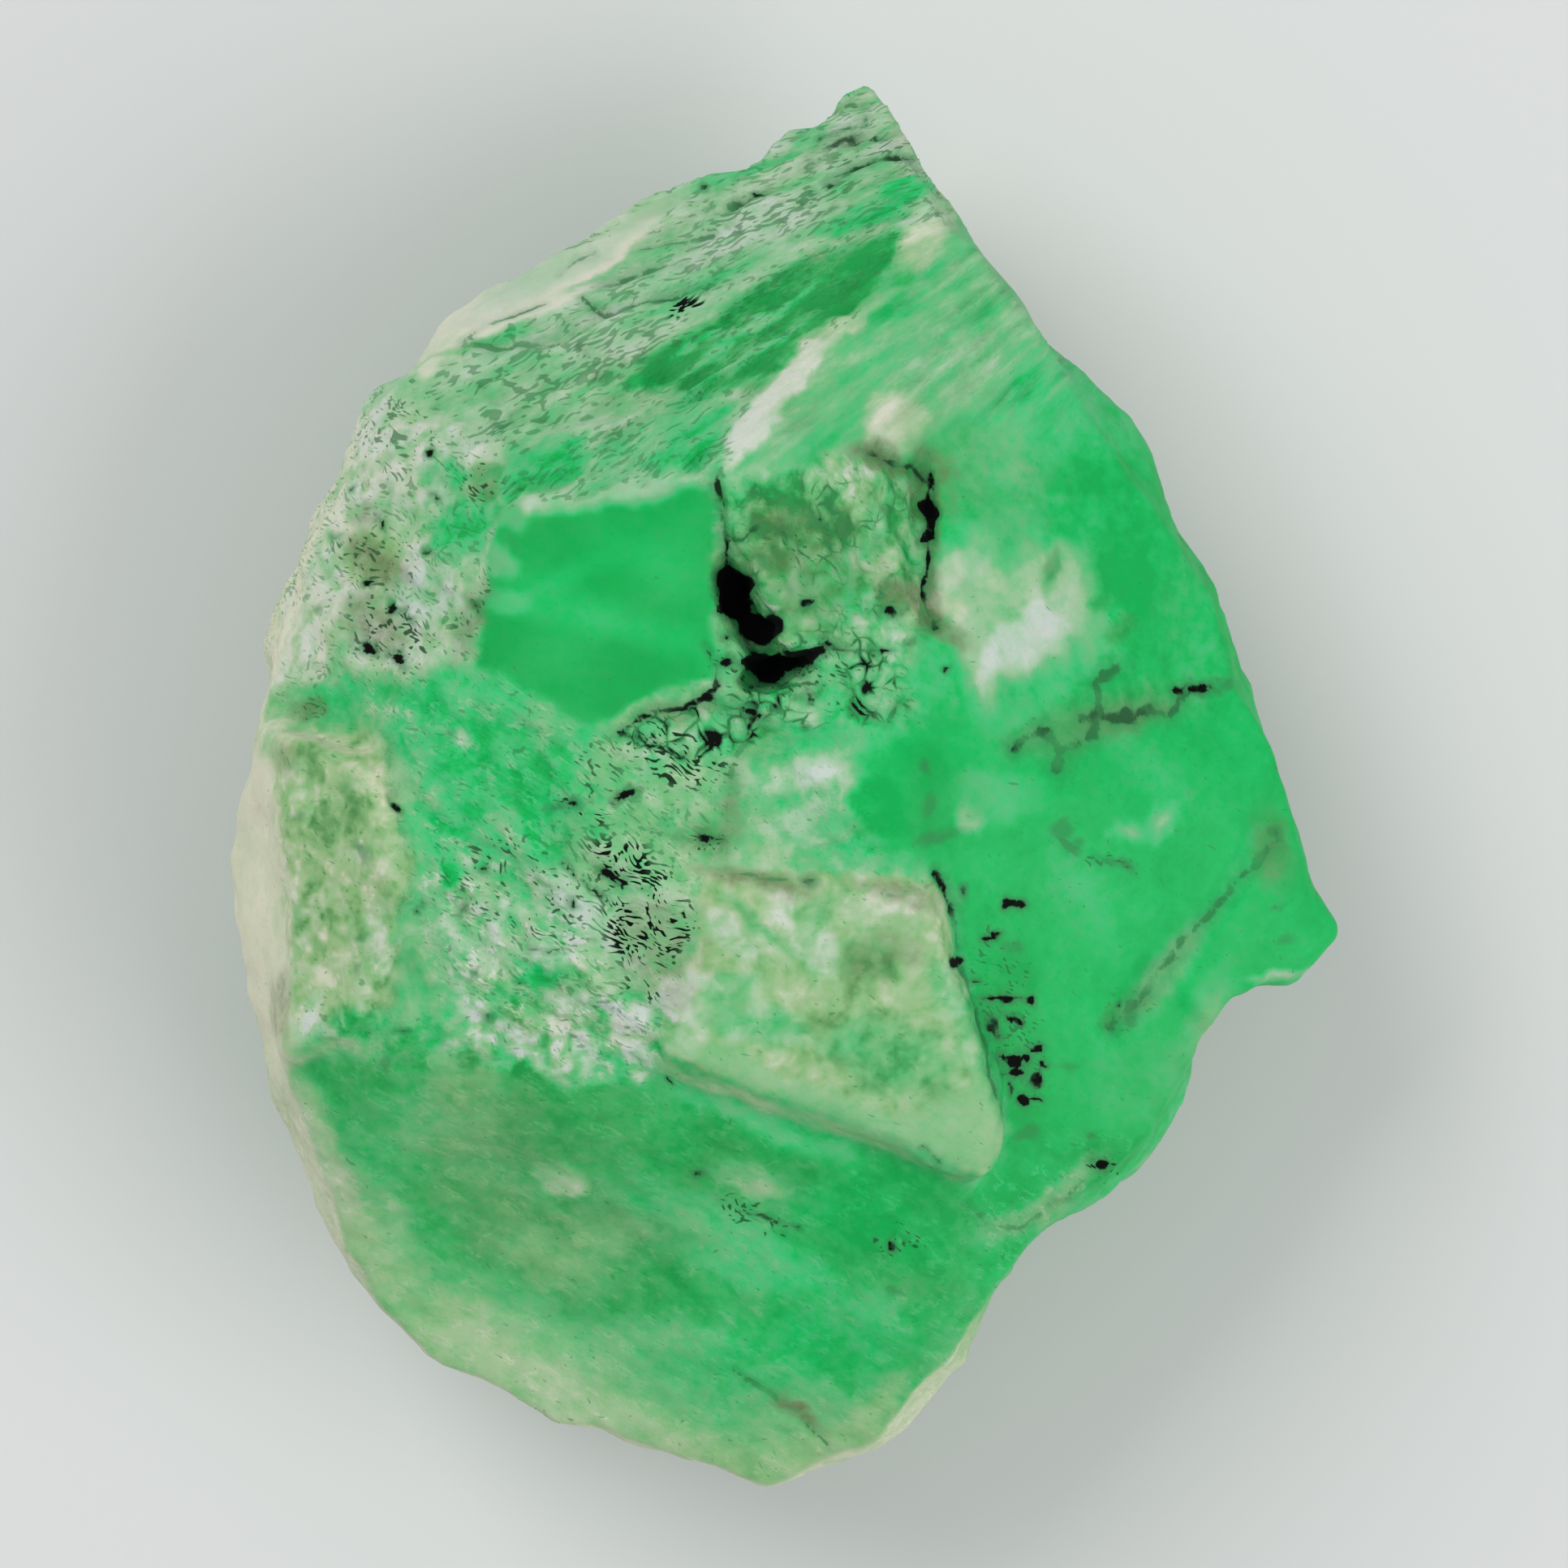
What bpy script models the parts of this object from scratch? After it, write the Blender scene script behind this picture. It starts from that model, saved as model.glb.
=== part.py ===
"""A raw emerald: one broken crystal lying on its flattest side, with its best face up."""

import math

import bmesh
import bpy
import numpy as np
from mathutils import Vector, noise

MM = 0.001

# All sizes are in millimetres, with +X right, +Y towards the pointed end and +Z up. The stone is
# shaped in them, and scaled to metres once it is whole.
# The widest section of the stone, clockwise from the pointed end.
GIRTH_OUTLINE = (
    (3.2, 25.6), (6.0, 20.0), (12.1, 13.3), (15.6, 6.8), (17.5, 2.1), (18.9, -2.9),
    (20.1, -5.1), (18.3, -6.8), (15.2, -7.5), (14.4, -10.6), (12.8, -13.5), (10.0, -15.3),
    (7.4, -18.1), (6.3, -20.6), (4.2, -22.9), (2.0, -23.7), (-0.6, -25.1), (-3.4, -24.0),
    (-6.5, -22.9), (-8.1, -23.1), (-10.7, -21.6), (-12.8, -20.6), (-14.5, -18.7),
    (-16.5, -15.5), (-17.7, -12.7), (-18.2, -9.4), (-19.5, -6.2), (-20.1, -2.7),
    (-19.6, -0.6), (-19.1, 1.3), (-18.3, 3.7), (-18.4, 5.1), (-17.2, 7.3), (-16.9, 9.5),
    (-16.3, 10.7), (-15.4, 12.7), (-14.7, 14.0), (-12.8, 14.7), (-12.0, 16.5),
    (-10.2, 17.7), (-6.1, 20.4), (-3.1, 22.2), (-1.0, 22.3), (0.0, 23.8), (1.5, 24.1),
    (1.7, 25.0),
)

# Sections of the rough block: height, size against the girth, drift along X and Y, and how many
# times the corners of the outline are drawn in.
BLOCK_SECTIONS = (
    (0.0, 0.80, (0.4, -0.8), 12),
    (3.0, 0.88, (0.2, -0.4), 10),
    (6.5, 0.95, (0.0, 0.0), 5),
    (8.8, 0.99, (0.0, 0.0), 0),
    (10.5, 1.0, (0.0, 0.0), 0),
    (12.5, 0.985, (0.0, 0.0), 1),
    (26.0, 0.90, (0.0, 0.0), 8),
)

# Broken faces: a point on the face, how far it leans from level, and the way it falls (0 is +X).
UPPER_FACES = {
    "fibrous face": ((-2.2, 10.9, 22.5), 48, 112),
    "right face": ((-2.2, 10.9, 22.5), 34, 18.7),
    "smooth rhombus": ((-2.2, 10.9, 22.5), 10, 215),
    "crown": ((-2.2, 4.0, 21.6), 11, 275),
    "right slope": ((5.0, 2.0, 20.8), 33, 340),
    "lower face": ((-4.0, -9.4, 18.3), 27, 262),
    "lower right face": ((7.0, -12.5, 17.0), 40, 315),
    "lower left face": ((-12.0, -12.0, 17.0), 38, 225),
    "flaky slope": ((-7.1, 1.9, 20.9), 17, 200),
    "left slope": ((-10.5, 6.0, 20.2), 42, 170),
    "left slab top": ((-13.3, -3.0, 19.0), 35, 185),
    "left rim": ((-18.0, -4.0, 15.5), 65, 182),
    "fibrous rim": ((-11.7, 15.8, 13.9), 62, 130),
}
UNDER_FACES = {
    "right flank": ((17.0, 3.0, 8.5), 118, 355),
    "knob flank": ((19.6, -5.2, 8.3), 134, 330),
    "lower right flank": ((14.4, -11.6, 8.5), 116, 318),
    "tail flank": ((-0.6, -25.2, 8.5), 117, 268),
    "lower left flank": ((-15.4, -17.4, 8.5), 119, 222),
    "left flank": ((-19.9, -2.7, 8.5), 112, 178),
    "upper left flank": ((-13.4, 15.4, 8.5), 122, 130),
    "point flank": ((2.7, 25.2, 8.3), 132, 88),
    "upper right flank": ((9.6, 17.0, 8.5), 117, 38),
    "tail chamfer": ((-2.0, -15.5, 1.6), 152, 245),
    "point chamfer": ((5.0, 13.5, 1.8), 150, 62),
    "right chamfer": ((11.5, -3.0, 1.6), 150, 345),
    "left chamfer": ((-13.5, 4.0, 1.8), 148, 165),
}

# Slabs that stand proud of the broken faces: corners clockwise from above, the face that tops them,
# and the faces that don't cut them.
SLABS = {
    "triangle slab": {
        "corners": ((-4.2, -9.4), (-3.9, -7.4), (-2.5, -3.0), (5.3, -3.3), (7.8, -12.3), (6.8, -13.7)),
        "top": {"crown": ((-2.2, 4.0, 21.9), 11, 275)},
        "leaves out": ("right slope", "lower face", "lower right face"),
    },
    "left slab": {
        "corners": (
            (-22.0, 3.4), (-16.8, 1.9), (-14.6, 1.0), (-13.5, -1.0), (-13.1, -3.6), (-13.6, -6.6),
            (-15.2, -8.6), (-22.0, -11.5),
        ),
        "top": {"left slab top": ((-13.3, -3.0, 19.6), 35, 185)},
        "leaves out": ("flaky slope", "lower left face", "left slope"),
    },
    "knob": {
        "corners": ((16.9, -0.6), (21.5, -3.0), (21.5, -7.5), (15.0, -8.6), (13.4, -6.2)),
        "top": {"right slope": ((5.0, 2.0, 21.3), 33, 340)},
        "leaves out": ("right flank", "lower right face"),
    },
}

# The smooth rhombus sinks towards its right edge, a step below the rough ground there.
RHOMBUS = ((-9.9, 9.3), (-2.5, 10.4), (-2.35, 3.9), (-7.1, 1.9), (-10.6, 3.9), (-10.3, 6.3))
RHOMBUS_FACE = ((-10.0, 4.0, 20.7), 7, 215)
LEDGE_SPREAD = 0.35  # how far the wall of a slab or a step spreads in plan
UNDERSIDE_SPREAD = 3.5  # how far the underside takes to run out to a slab

# Deep pockets: centre in plan, half length, half width, depth and the way the length points.
POCKETS = {
    "upper pocket": ((-1.5, 6.5), 1.7, 0.8, 3.4, 112),
    "upper pocket foot": ((-0.9, 5.5), 1.2, 0.8, 3.4, 150),
    "lower pocket": ((-0.2, 4.1), 1.7, 0.75, 3.2, 8),
}

# Cracks: a run of points in plan, then half the width and the depth.
CRACKS = {
    "rhombus edge": (((-2.3, 10.6), (-2.4, 9.0), (-2.1, 7.8), (-2.0, 6.6)), 0.45, 0.9),
    "stained crack": (((5.1, 12.0), (4.7, 10.9), (5.1, 9.8), (4.9, 8.4), (5.1, 5.6)), 0.45, 1.4),
    "crack branch": (((2.9, 12.1), (3.9, 11.4), (4.8, 11.2)), 0.45, 0.8),
    "knob groove": (((17.6, -0.9), (15.5, -3.9), (13.7, -6.2), (11.7, -8.5)), 0.6, 0.6),
}

# Shell-shaped chips: the middle of the chip, the radius it curves on and its depth, then how far
# its outward direction leans from up and the way it points.
CHIPS = {
    "lower face hollow": ((-7.0, -17.0, 14.3), 34.0, 0.8, 32, 245),
    "tail chip": ((5.5, -17.5, 2.4), 15.0, 1.2, 132, 300),
    "left chip": ((-15.5, -8.0, 3.0), 17.0, 1.1, 124, 200),
    "back chip": ((-11.0, 12.0, 2.8), 14.0, 1.3, 130, 135),
    "right chip": ((13.0, 6.5, 3.0), 16.0, 1.2, 126, 8),
}

# Weathering: the size of the lumps and how far they move the surface.
EDGE_WANDER_SIZE = 3.4
EDGE_WANDER = 0.32
WANDER_SHIFTS = (31.7, -54.2, 78.9)  # keep the wander along x, y and z unlike
BROAD_LUMP = 8.0
BROAD_RELIEF = 0.5
FINE_LUMP = 2.1
FINE_RELIEF = 0.36
SMOOTH_GROUND_SHARE = 0.1
STEEP_GROUND_SHARE = 0.6
# Rough ground: its middle in plan and its radius.
ROUGH_GROUND = (
    ((-13.5, 7.0), 6.0),
    ((-16.0, -3.5), 5.0),
    ((-6.5, -3.0), 5.5),
    ((1.8, 7.0), 4.2),
    ((0.5, 2.5), 4.5),
    ((-8.0, 14.0), 7.0),
)
# Ribs that fan down the fibrous face: where they would meet, their spacing and their height.
FIBRE_ORIGIN = (27.0, 32.5)
FIBRE_STEP = math.radians(1.7)
FIBRE_RELIEF = 0.16
FIBRE_WANDER = 0.7
FIBROUS_MATCH = 0.93  # a surface this much in line with the fibrous face carries ribs
# Thin flakes that step down the flaky slope: middle, radius, tread, rise and the way they step.
FLAKE_MIDDLE = (-8.0, -4.5)
FLAKE_RADIUS = 6.5
FLAKE_TREAD = 2.3
FLAKE_RISE = 0.45
FLAKE_FALL = (-0.64, -0.77)

SKIN_GRAIN = 0.3  # size of the even cells that the whole skin is redrawn in
TRIANGLES = 9000
BASE_TRIM = 0.5  # height, on the rough block, that the rest face is flattened at
BASE_CATCH = 0.06  # a point this close above the rest face belongs to it
EMERALD = (0.105, 0.474, 0.153, 1.0)


def facing(lean, fall):
    """Unit normal of a face that leans this far from level and falls this way."""
    lean, fall = math.radians(lean), math.radians(fall)
    return np.array((math.sin(lean) * math.cos(fall), math.sin(lean) * math.sin(fall), math.cos(lean)))


def face_height(face, x, y):
    """Height of a face over places in plan."""
    point, lean, fall = face
    normal = facing(lean, fall)
    return point[2] - (normal[0] * (x - point[0]) + normal[1] * (y - point[1])) / normal[2]


def depth_inside(corners, x, y):
    """How far places in plan lie inside a convex outline, clockwise from above; below 0 is outside."""
    depths = []
    for start, end in zip(corners, corners[1:] + corners[:1]):
        run_x, run_y = end[0] - start[0], end[1] - start[1]
        across = run_y * (x - start[0]) - run_x * (y - start[1])
        depths.append(across / math.hypot(run_x, run_y))
    return np.minimum.reduce(depths)


def distance_to_run(points, x, y):
    """Distance in plan to the nearest leg of a run of points."""
    distances = []
    for start, end in zip(points, points[1:]):
        run_x, run_y = end[0] - start[0], end[1] - start[1]
        share = ((x - start[0]) * run_x + (y - start[1]) * run_y) / (run_x**2 + run_y**2)
        share = np.clip(share, 0, 1)
        distances.append(np.hypot(x - start[0] - share * run_x, y - start[1] - share * run_y))
    return np.minimum.reduce(distances)


def wall(inside, spread=LEDGE_SPREAD):
    """0 outside a ledge and 1 inside it, rising over the spread of its wall."""
    return np.clip(inside / spread + 0.5, 0, 1)


def top_height(faces, x, y):
    return np.minimum.reduce([face_height(face, x, y) for face in faces.values()])


def under_height(faces, x, y):
    return np.maximum.reduce([face_height(face, x, y) for face in faces.values()])


def broken_top(x, y):
    """The upper faces with their slabs, the sunken rhombus, pockets and cracks."""
    height = top_height(UPPER_FACES, x, y)
    for slab in SLABS.values():
        faces = {name: face for name, face in UPPER_FACES.items() if name not in slab["leaves out"]}
        lifted = top_height(faces | slab["top"], x, y)
        height += (lifted - height) * wall(depth_inside(slab["corners"], x, y))
    sunk = np.minimum(height, face_height(RHOMBUS_FACE, x, y))
    height += (sunk - height) * wall(depth_inside(RHOMBUS, x, y))
    pocket = np.zeros_like(x)
    for middle, half_length, half_width, depth, heading in POCKETS.values():
        turn = math.radians(heading)
        along = (x - middle[0]) * math.cos(turn) + (y - middle[1]) * math.sin(turn)
        across = (y - middle[1]) * math.cos(turn) - (x - middle[0]) * math.sin(turn)
        bowl = 1 - (along / half_length) ** 2 - (across / half_width) ** 2
        pocket = np.maximum(pocket, depth * np.sqrt(np.maximum(bowl, 0)))
    height -= pocket
    for points, half_width, depth in CRACKS.values():
        height -= depth * np.maximum(1 - distance_to_run(points, x, y) / half_width, 0)
    return height


def broken_underside(x, y):
    """The under faces, of which some don't reach the slabs."""
    height = under_height(UNDER_FACES, x, y)
    for slab in SLABS.values():
        faces = {name: face for name, face in UNDER_FACES.items() if name not in slab["leaves out"]}
        lowered = under_height(faces, x, y)
        height += (lowered - height) * wall(depth_inside(slab["corners"], x, y), UNDERSIDE_SPREAD)
    return height


def clear_scene():
    for obj in list(bpy.data.objects):
        bpy.data.objects.remove(obj, do_unlink=True)


def shape_ring(ring, size, drift, passes):
    """Draws in the corners of a copy of the girth outline, then sizes and shifts it."""
    outline = np.array([vert.co[:2] for vert in ring])
    for _ in range(passes):
        outline = (np.roll(outline, 1, axis=0) + 2 * outline + np.roll(outline, -1, axis=0)) / 4
    for vert, place in zip(ring, outline * size + drift):
        vert.co.x, vert.co.y = place


def rough_block():
    """The girth outline drawn through its sections."""
    bm = bmesh.new()
    corners = [bm.verts.new((x, y, BLOCK_SECTIONS[0][0])) for x, y in GIRTH_OUTLINE]
    top = bm.faces.new(corners)
    rings = [corners]
    for height, *_ in BLOCK_SECTIONS[1:]:
        lifted = bmesh.ops.extrude_face_region(bm, geom=[top, *top.edges, *top.verts])["geom"]
        top = next(item for item in lifted if isinstance(item, bmesh.types.BMFace))
        for vert in top.verts:
            vert.co.z = height
        rings.append(list(top.verts))
    for ring, (_, size, drift, passes) in zip(rings, BLOCK_SECTIONS):
        shape_ring(ring, size, drift, passes)
    bmesh.ops.recalc_face_normals(bm, faces=bm.faces)
    mesh = bpy.data.meshes.new("emerald")
    bm.to_mesh(mesh)
    bm.free()
    stone = bpy.data.objects.new("emerald", mesh)
    bpy.context.scene.collection.objects.link(stone)
    return stone


def apply_modifiers(stone):
    graph = bpy.context.evaluated_depsgraph_get()
    mesh = bpy.data.meshes.new_from_object(stone.evaluated_get(graph))
    stone.modifiers.clear()
    stone.data = mesh


def redraw_skin(stone):
    remesh = stone.modifiers.new("even skin", "REMESH")
    remesh.mode = "VOXEL"
    remesh.voxel_size = SKIN_GRAIN
    apply_modifiers(stone)


def settle_order(stone):
    """Cuts the skin into triangles and numbers its edges by their ends, so thinning repeats exactly."""
    bm = bmesh.new()
    bm.from_mesh(stone.data)
    bmesh.ops.triangulate(bm, faces=bm.faces)
    bm.verts.index_update()
    count = len(bm.verts)
    bm.edges.sort(key=lambda edge: edge.verts[0].index * count + edge.verts[1].index)
    bm.to_mesh(stone.data)
    bm.free()


def thin_out(stone):
    """Fewer and larger triangles, most of them where the surface bends."""
    settle_order(stone)
    thin = stone.modifiers.new("fewer faces", "DECIMATE")
    thin.ratio = TRIANGLES / len(stone.data.polygons)
    apply_modifiers(stone)
    settle_order(stone)


def points_of(stone, what="co"):
    values = np.empty(len(stone.data.vertices) * 3)
    stone.data.vertices.foreach_get(what, values)
    return values.reshape(-1, 3)


def put_points(stone, points):
    stone.data.vertices.foreach_set("co", points.ravel())
    stone.data.update()


def break_stone(stone):
    """Drops or lifts the block's skin onto the broken faces, then bites the chips out of it."""
    points = points_of(stone)
    x, y = points[:, 0], points[:, 1]
    points[:, 2] = np.clip(points[:, 2], broken_underside(x, y), broken_top(x, y))
    for middle, radius, depth, lean, fall in CHIPS.values():
        centre = middle + facing(lean, fall) * (radius - depth)
        spoke = points - centre
        reach = np.linalg.norm(spoke, axis=1, keepdims=True)
        points = np.where(reach < radius, centre + spoke * radius / reach, points)
    put_points(stone, points)


def lumps(points, size):
    return np.array([noise.noise(Vector(point / size)) for point in points])


def rough_share(x, y):
    """1 in the middle of rough ground, falling to 0 on smooth faces."""
    share = np.zeros_like(x)
    for middle, radius in ROUGH_GROUND:
        share = np.maximum(share, 1 - np.hypot(x - middle[0], y - middle[1]) ** 2 / radius**2)
    return share


def fibre_ribs(points):
    """Uneven ribs that fan out down the fibrous face."""
    spoke_x, spoke_y = points[:, 0] - FIBRE_ORIGIN[0], points[:, 1] - FIBRE_ORIGIN[1]
    turns = np.arctan2(-spoke_y, -spoke_x) / FIBRE_STEP + lumps(points, BROAD_LUMP) * FIBRE_WANDER
    return np.sin(turns * math.tau) * np.clip(0.5 + 2 * lumps(points, EDGE_WANDER_SIZE), 0, 1.2)


def flake_steps(points):
    """A saw-tooth of worn treads, fading out at the edge of the flaky ground."""
    x, y = points[:, 0], points[:, 1]
    away = np.hypot(x - FLAKE_MIDDLE[0], y - FLAKE_MIDDLE[1])
    along = x * FLAKE_FALL[0] + y * FLAKE_FALL[1] + lumps(points, EDGE_WANDER_SIZE)
    return np.maximum(1 - (away / FLAKE_RADIUS) ** 2, 0) * (0.5 - along / FLAKE_TREAD % 1)


def weather(stone):
    """Lets edges wander, moves the skin in and out by lumps, and adds ribs and flakes."""
    points, normals = points_of(stone), points_of(stone, "normal")
    faces_up = np.maximum(normals[:, 2], 0)
    rough = SMOOTH_GROUND_SHARE + rough_share(points[:, 0], points[:, 1]) * faces_up
    rough += STEEP_GROUND_SHARE * (1 - normals[:, 2] ** 2) ** 3
    fibrous = normals @ facing(*UPPER_FACES["fibrous face"][1:]) > FIBROUS_MATCH
    offset = lumps(points, BROAD_LUMP) * BROAD_RELIEF
    offset += (lumps(points, FINE_LUMP) + 0.5 * lumps(points, FINE_LUMP / 2)) * FINE_RELIEF * rough
    offset += np.where(fibrous, fibre_ribs(points) * FIBRE_RELIEF, 0)
    offset += flake_steps(points) * FLAKE_RISE * faces_up
    wander = [lumps(points + shift, EDGE_WANDER_SIZE) for shift in WANDER_SHIFTS]
    put_points(stone, points + normals * offset[:, None] + np.transpose(wander) * EDGE_WANDER)


def flatten_base(stone):
    points = points_of(stone)
    low = points[:, 2] < BASE_TRIM + BASE_CATCH
    points[low, 2] = BASE_TRIM
    put_points(stone, points)


def set_down(stone):
    """Puts the rest face at height 0, centres the stone over the origin and scales it to metres."""
    points = points_of(stone)
    middle = (points.min(axis=0) + points.max(axis=0)) / 2
    middle[2] = BASE_TRIM
    put_points(stone, (points - middle) * MM)


def emerald_material():
    material = bpy.data.materials.new("emerald")
    material.use_nodes = True
    shader = material.node_tree.nodes["Principled BSDF"]
    shader.inputs["Base Color"].default_value = EMERALD
    shader.inputs["Roughness"].default_value = 0.45
    shader.inputs["Metallic"].default_value = 0.0
    return material


def build():
    clear_scene()
    stone = rough_block()
    redraw_skin(stone)
    break_stone(stone)
    redraw_skin(stone)
    weather(stone)
    flatten_base(stone)
    thin_out(stone)
    flatten_base(stone)
    set_down(stone)
    stone.data.materials.append(emerald_material())
    stone.data.shade_smooth()
    stone.data.set_sharp_from_angle(angle=math.radians(35))


build()
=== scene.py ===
import math

import bmesh
import bpy
import numpy as np
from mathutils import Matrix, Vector, noise


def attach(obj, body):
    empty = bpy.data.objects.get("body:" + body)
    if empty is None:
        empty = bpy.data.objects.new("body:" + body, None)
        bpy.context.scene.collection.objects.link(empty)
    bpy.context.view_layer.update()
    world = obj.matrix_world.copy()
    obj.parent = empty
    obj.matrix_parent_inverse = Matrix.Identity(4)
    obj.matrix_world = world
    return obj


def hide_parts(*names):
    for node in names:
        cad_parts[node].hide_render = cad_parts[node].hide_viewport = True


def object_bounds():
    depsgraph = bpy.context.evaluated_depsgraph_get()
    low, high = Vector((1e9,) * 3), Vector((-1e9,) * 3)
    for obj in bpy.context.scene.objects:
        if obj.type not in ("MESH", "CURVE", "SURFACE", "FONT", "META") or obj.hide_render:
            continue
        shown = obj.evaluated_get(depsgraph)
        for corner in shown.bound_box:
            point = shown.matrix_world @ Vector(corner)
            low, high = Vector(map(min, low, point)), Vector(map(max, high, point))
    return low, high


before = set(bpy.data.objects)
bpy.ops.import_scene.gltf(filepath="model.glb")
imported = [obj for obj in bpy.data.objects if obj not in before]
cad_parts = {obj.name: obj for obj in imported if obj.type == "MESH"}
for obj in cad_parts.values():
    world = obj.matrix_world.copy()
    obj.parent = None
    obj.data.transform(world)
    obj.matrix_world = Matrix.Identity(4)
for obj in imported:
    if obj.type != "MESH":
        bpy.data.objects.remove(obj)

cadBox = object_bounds()
mm = 0.001

# what a user would change on the stone; lengths in mm, places seen from above with +Y to the point
stone = {
    "voxel": 0.19,
    "facetPasses": 5,
    "undersideKept": 0.25,
    "baseHeight": 0.08,  # what lies lower belongs to the level base
    "baseLevel": 0.004,  # flat enough to be split further
    "baseFace": 0.5,  # mm2
    "baseSplits": 4,
    "fanMiddle": (27.0, 32.5),  # where the streaks of the fibrous face would meet
    "flowHeading": -33,  # way the flakes and long pits lie, degrees from +X
    # how far each kind of relief moves the surface, and the size of its lumps
    "relief": {
        "fibre": 0.12, "grain": 0.2, "flow": 0.1, "pits": 0.12, "calm": 0.03, "crack": 0.15, "hole": 0.3,
    },
    "reliefSize": {"grain": (0.85, 0.42), "flow": (1.0, 0.5), "pits": 0.55, "calm": 2.6},
    "holeSlope": 0.3,  # way in from a hole's edge to its full depth
    "wander": ((1.9, 0.6), (0.8, 0.4), (0.4, 0.25)),  # size and share of the lumps that bend borders
    "borderWander": 0.5,
    "crackWander": 0.2,
    "patchWander": 0.12,
    "holeWander": 0.08,
    # how far the other ovals wander, then the depths where they start and are full
    "pitEdge": (0.3, -0.2, 0.35),
    "spotEdge": (0.06, -0.12, 0.08),
    "stainEdge": (0.5, -0.4, 0.6),
    "crackReach": (5.0, 8.0),  # the shade along a crack fades out here, in half widths
    # values of the normal's z between which the top and its streaks fade in, and the painted rim light in
    # and out
    "topFrom": (-0.2, 0.0),
    "fibresFrom": (0.05, 0.35),
    "rimLightFrom": (-0.4, -0.1),
    "rimLightTo": (0.3, 0.72),
    # size, share and shift of each layer of blots
    "curds": ((0.9, 0.6, 140.0), (0.45, 0.4, 150.0)),
    "grainBlots": ((1.25, 0.18, 5.0), (0.62, 0.22, 21.0)),
    # what grows where no area is named, and on the sides and the underside
    "plainGround": {"tone": 0.45, "warmth": 0.3, "grain": 0.5},
    "sideGround": {
        "tone": 0.42, "warmth": 0.35, "fibre": 0, "grain": 0.6, "flow": 0.4, "pits": 0.7, "vein": 0,
        "curd": 0.4, "stain": 0, "spot": 0, "black": 0.3,
    },
    # from clear deep green to frosted white: cold for plain crystal, warm for stained and creamy skin
    "coldTones": [
        (0, "02a54b"), (0.14, "12b259"), (0.3, "3eb870"), (0.5, "66b47a"), (0.75, "98bd98"), (1, "bcc6bc"),
    ],
    "warmTones": [(0, "26783a"), (0.25, "5a9054"), (0.5, "84ae72"), (0.75, "a4b88c"), (1, "d4cfb2")],
    "rimLightTone": 0.97,  # painted rim light: a thin pale cream edge on the lower left
    "rimLightWarmth": 0.8,
    "rimLightShare": 0.8,
    "pitTone": "2c7a44",
    "darkTone": "030603",
    "stainTone": "66744e",
    # how often each pattern repeats over a millimetre, or over a radian of the fan
    "streaks": (80, 0.75, 0.3),
    "longStreaks": (42, 0.2, 0.15),
    "flakes": (0.6, 2.0, 0.8),
    "fanPits": (320, 2.4, 1),
    "flowPits": (3.9, 9, 3),
    "grains": 2.0,
    "patchy": 1.7,
    "lumps": 1.5,
    # share of each pattern in the tone, in the warmth and in the fine bumps; the lumps' share is their
    # painted shading
    "toneShare": {
        "streaks": 0.85, "longStreaks": 0.8, "flakes": 0.62, "threads": 0.3, "lumps": 0.3, "curds": 0.4,
        "grains": 0.7, "plainGrains": 0.22,
    },
    "warmthShare": {"grains": 0.3, "lumps": 0.4, "curds": 0.35},
    "bumpShare": {"streaks": 0.8, "grains": 0.8, "plainGrains": 0.15, "flakes": 0.6},
    "roughness": (0.5, 0.68),  # clear faces, frosted faces
    "bumpStrength": 0.6,
    "bumpDepth": 0.25,
    "bend": 1.57,  # index of refraction
    "gloss": 0.14,
    "subsurface": 0.08,
    "scatterReach": (0.35, 1.0, 0.45),
    "scatterDepth": 1.2,
}

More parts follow.
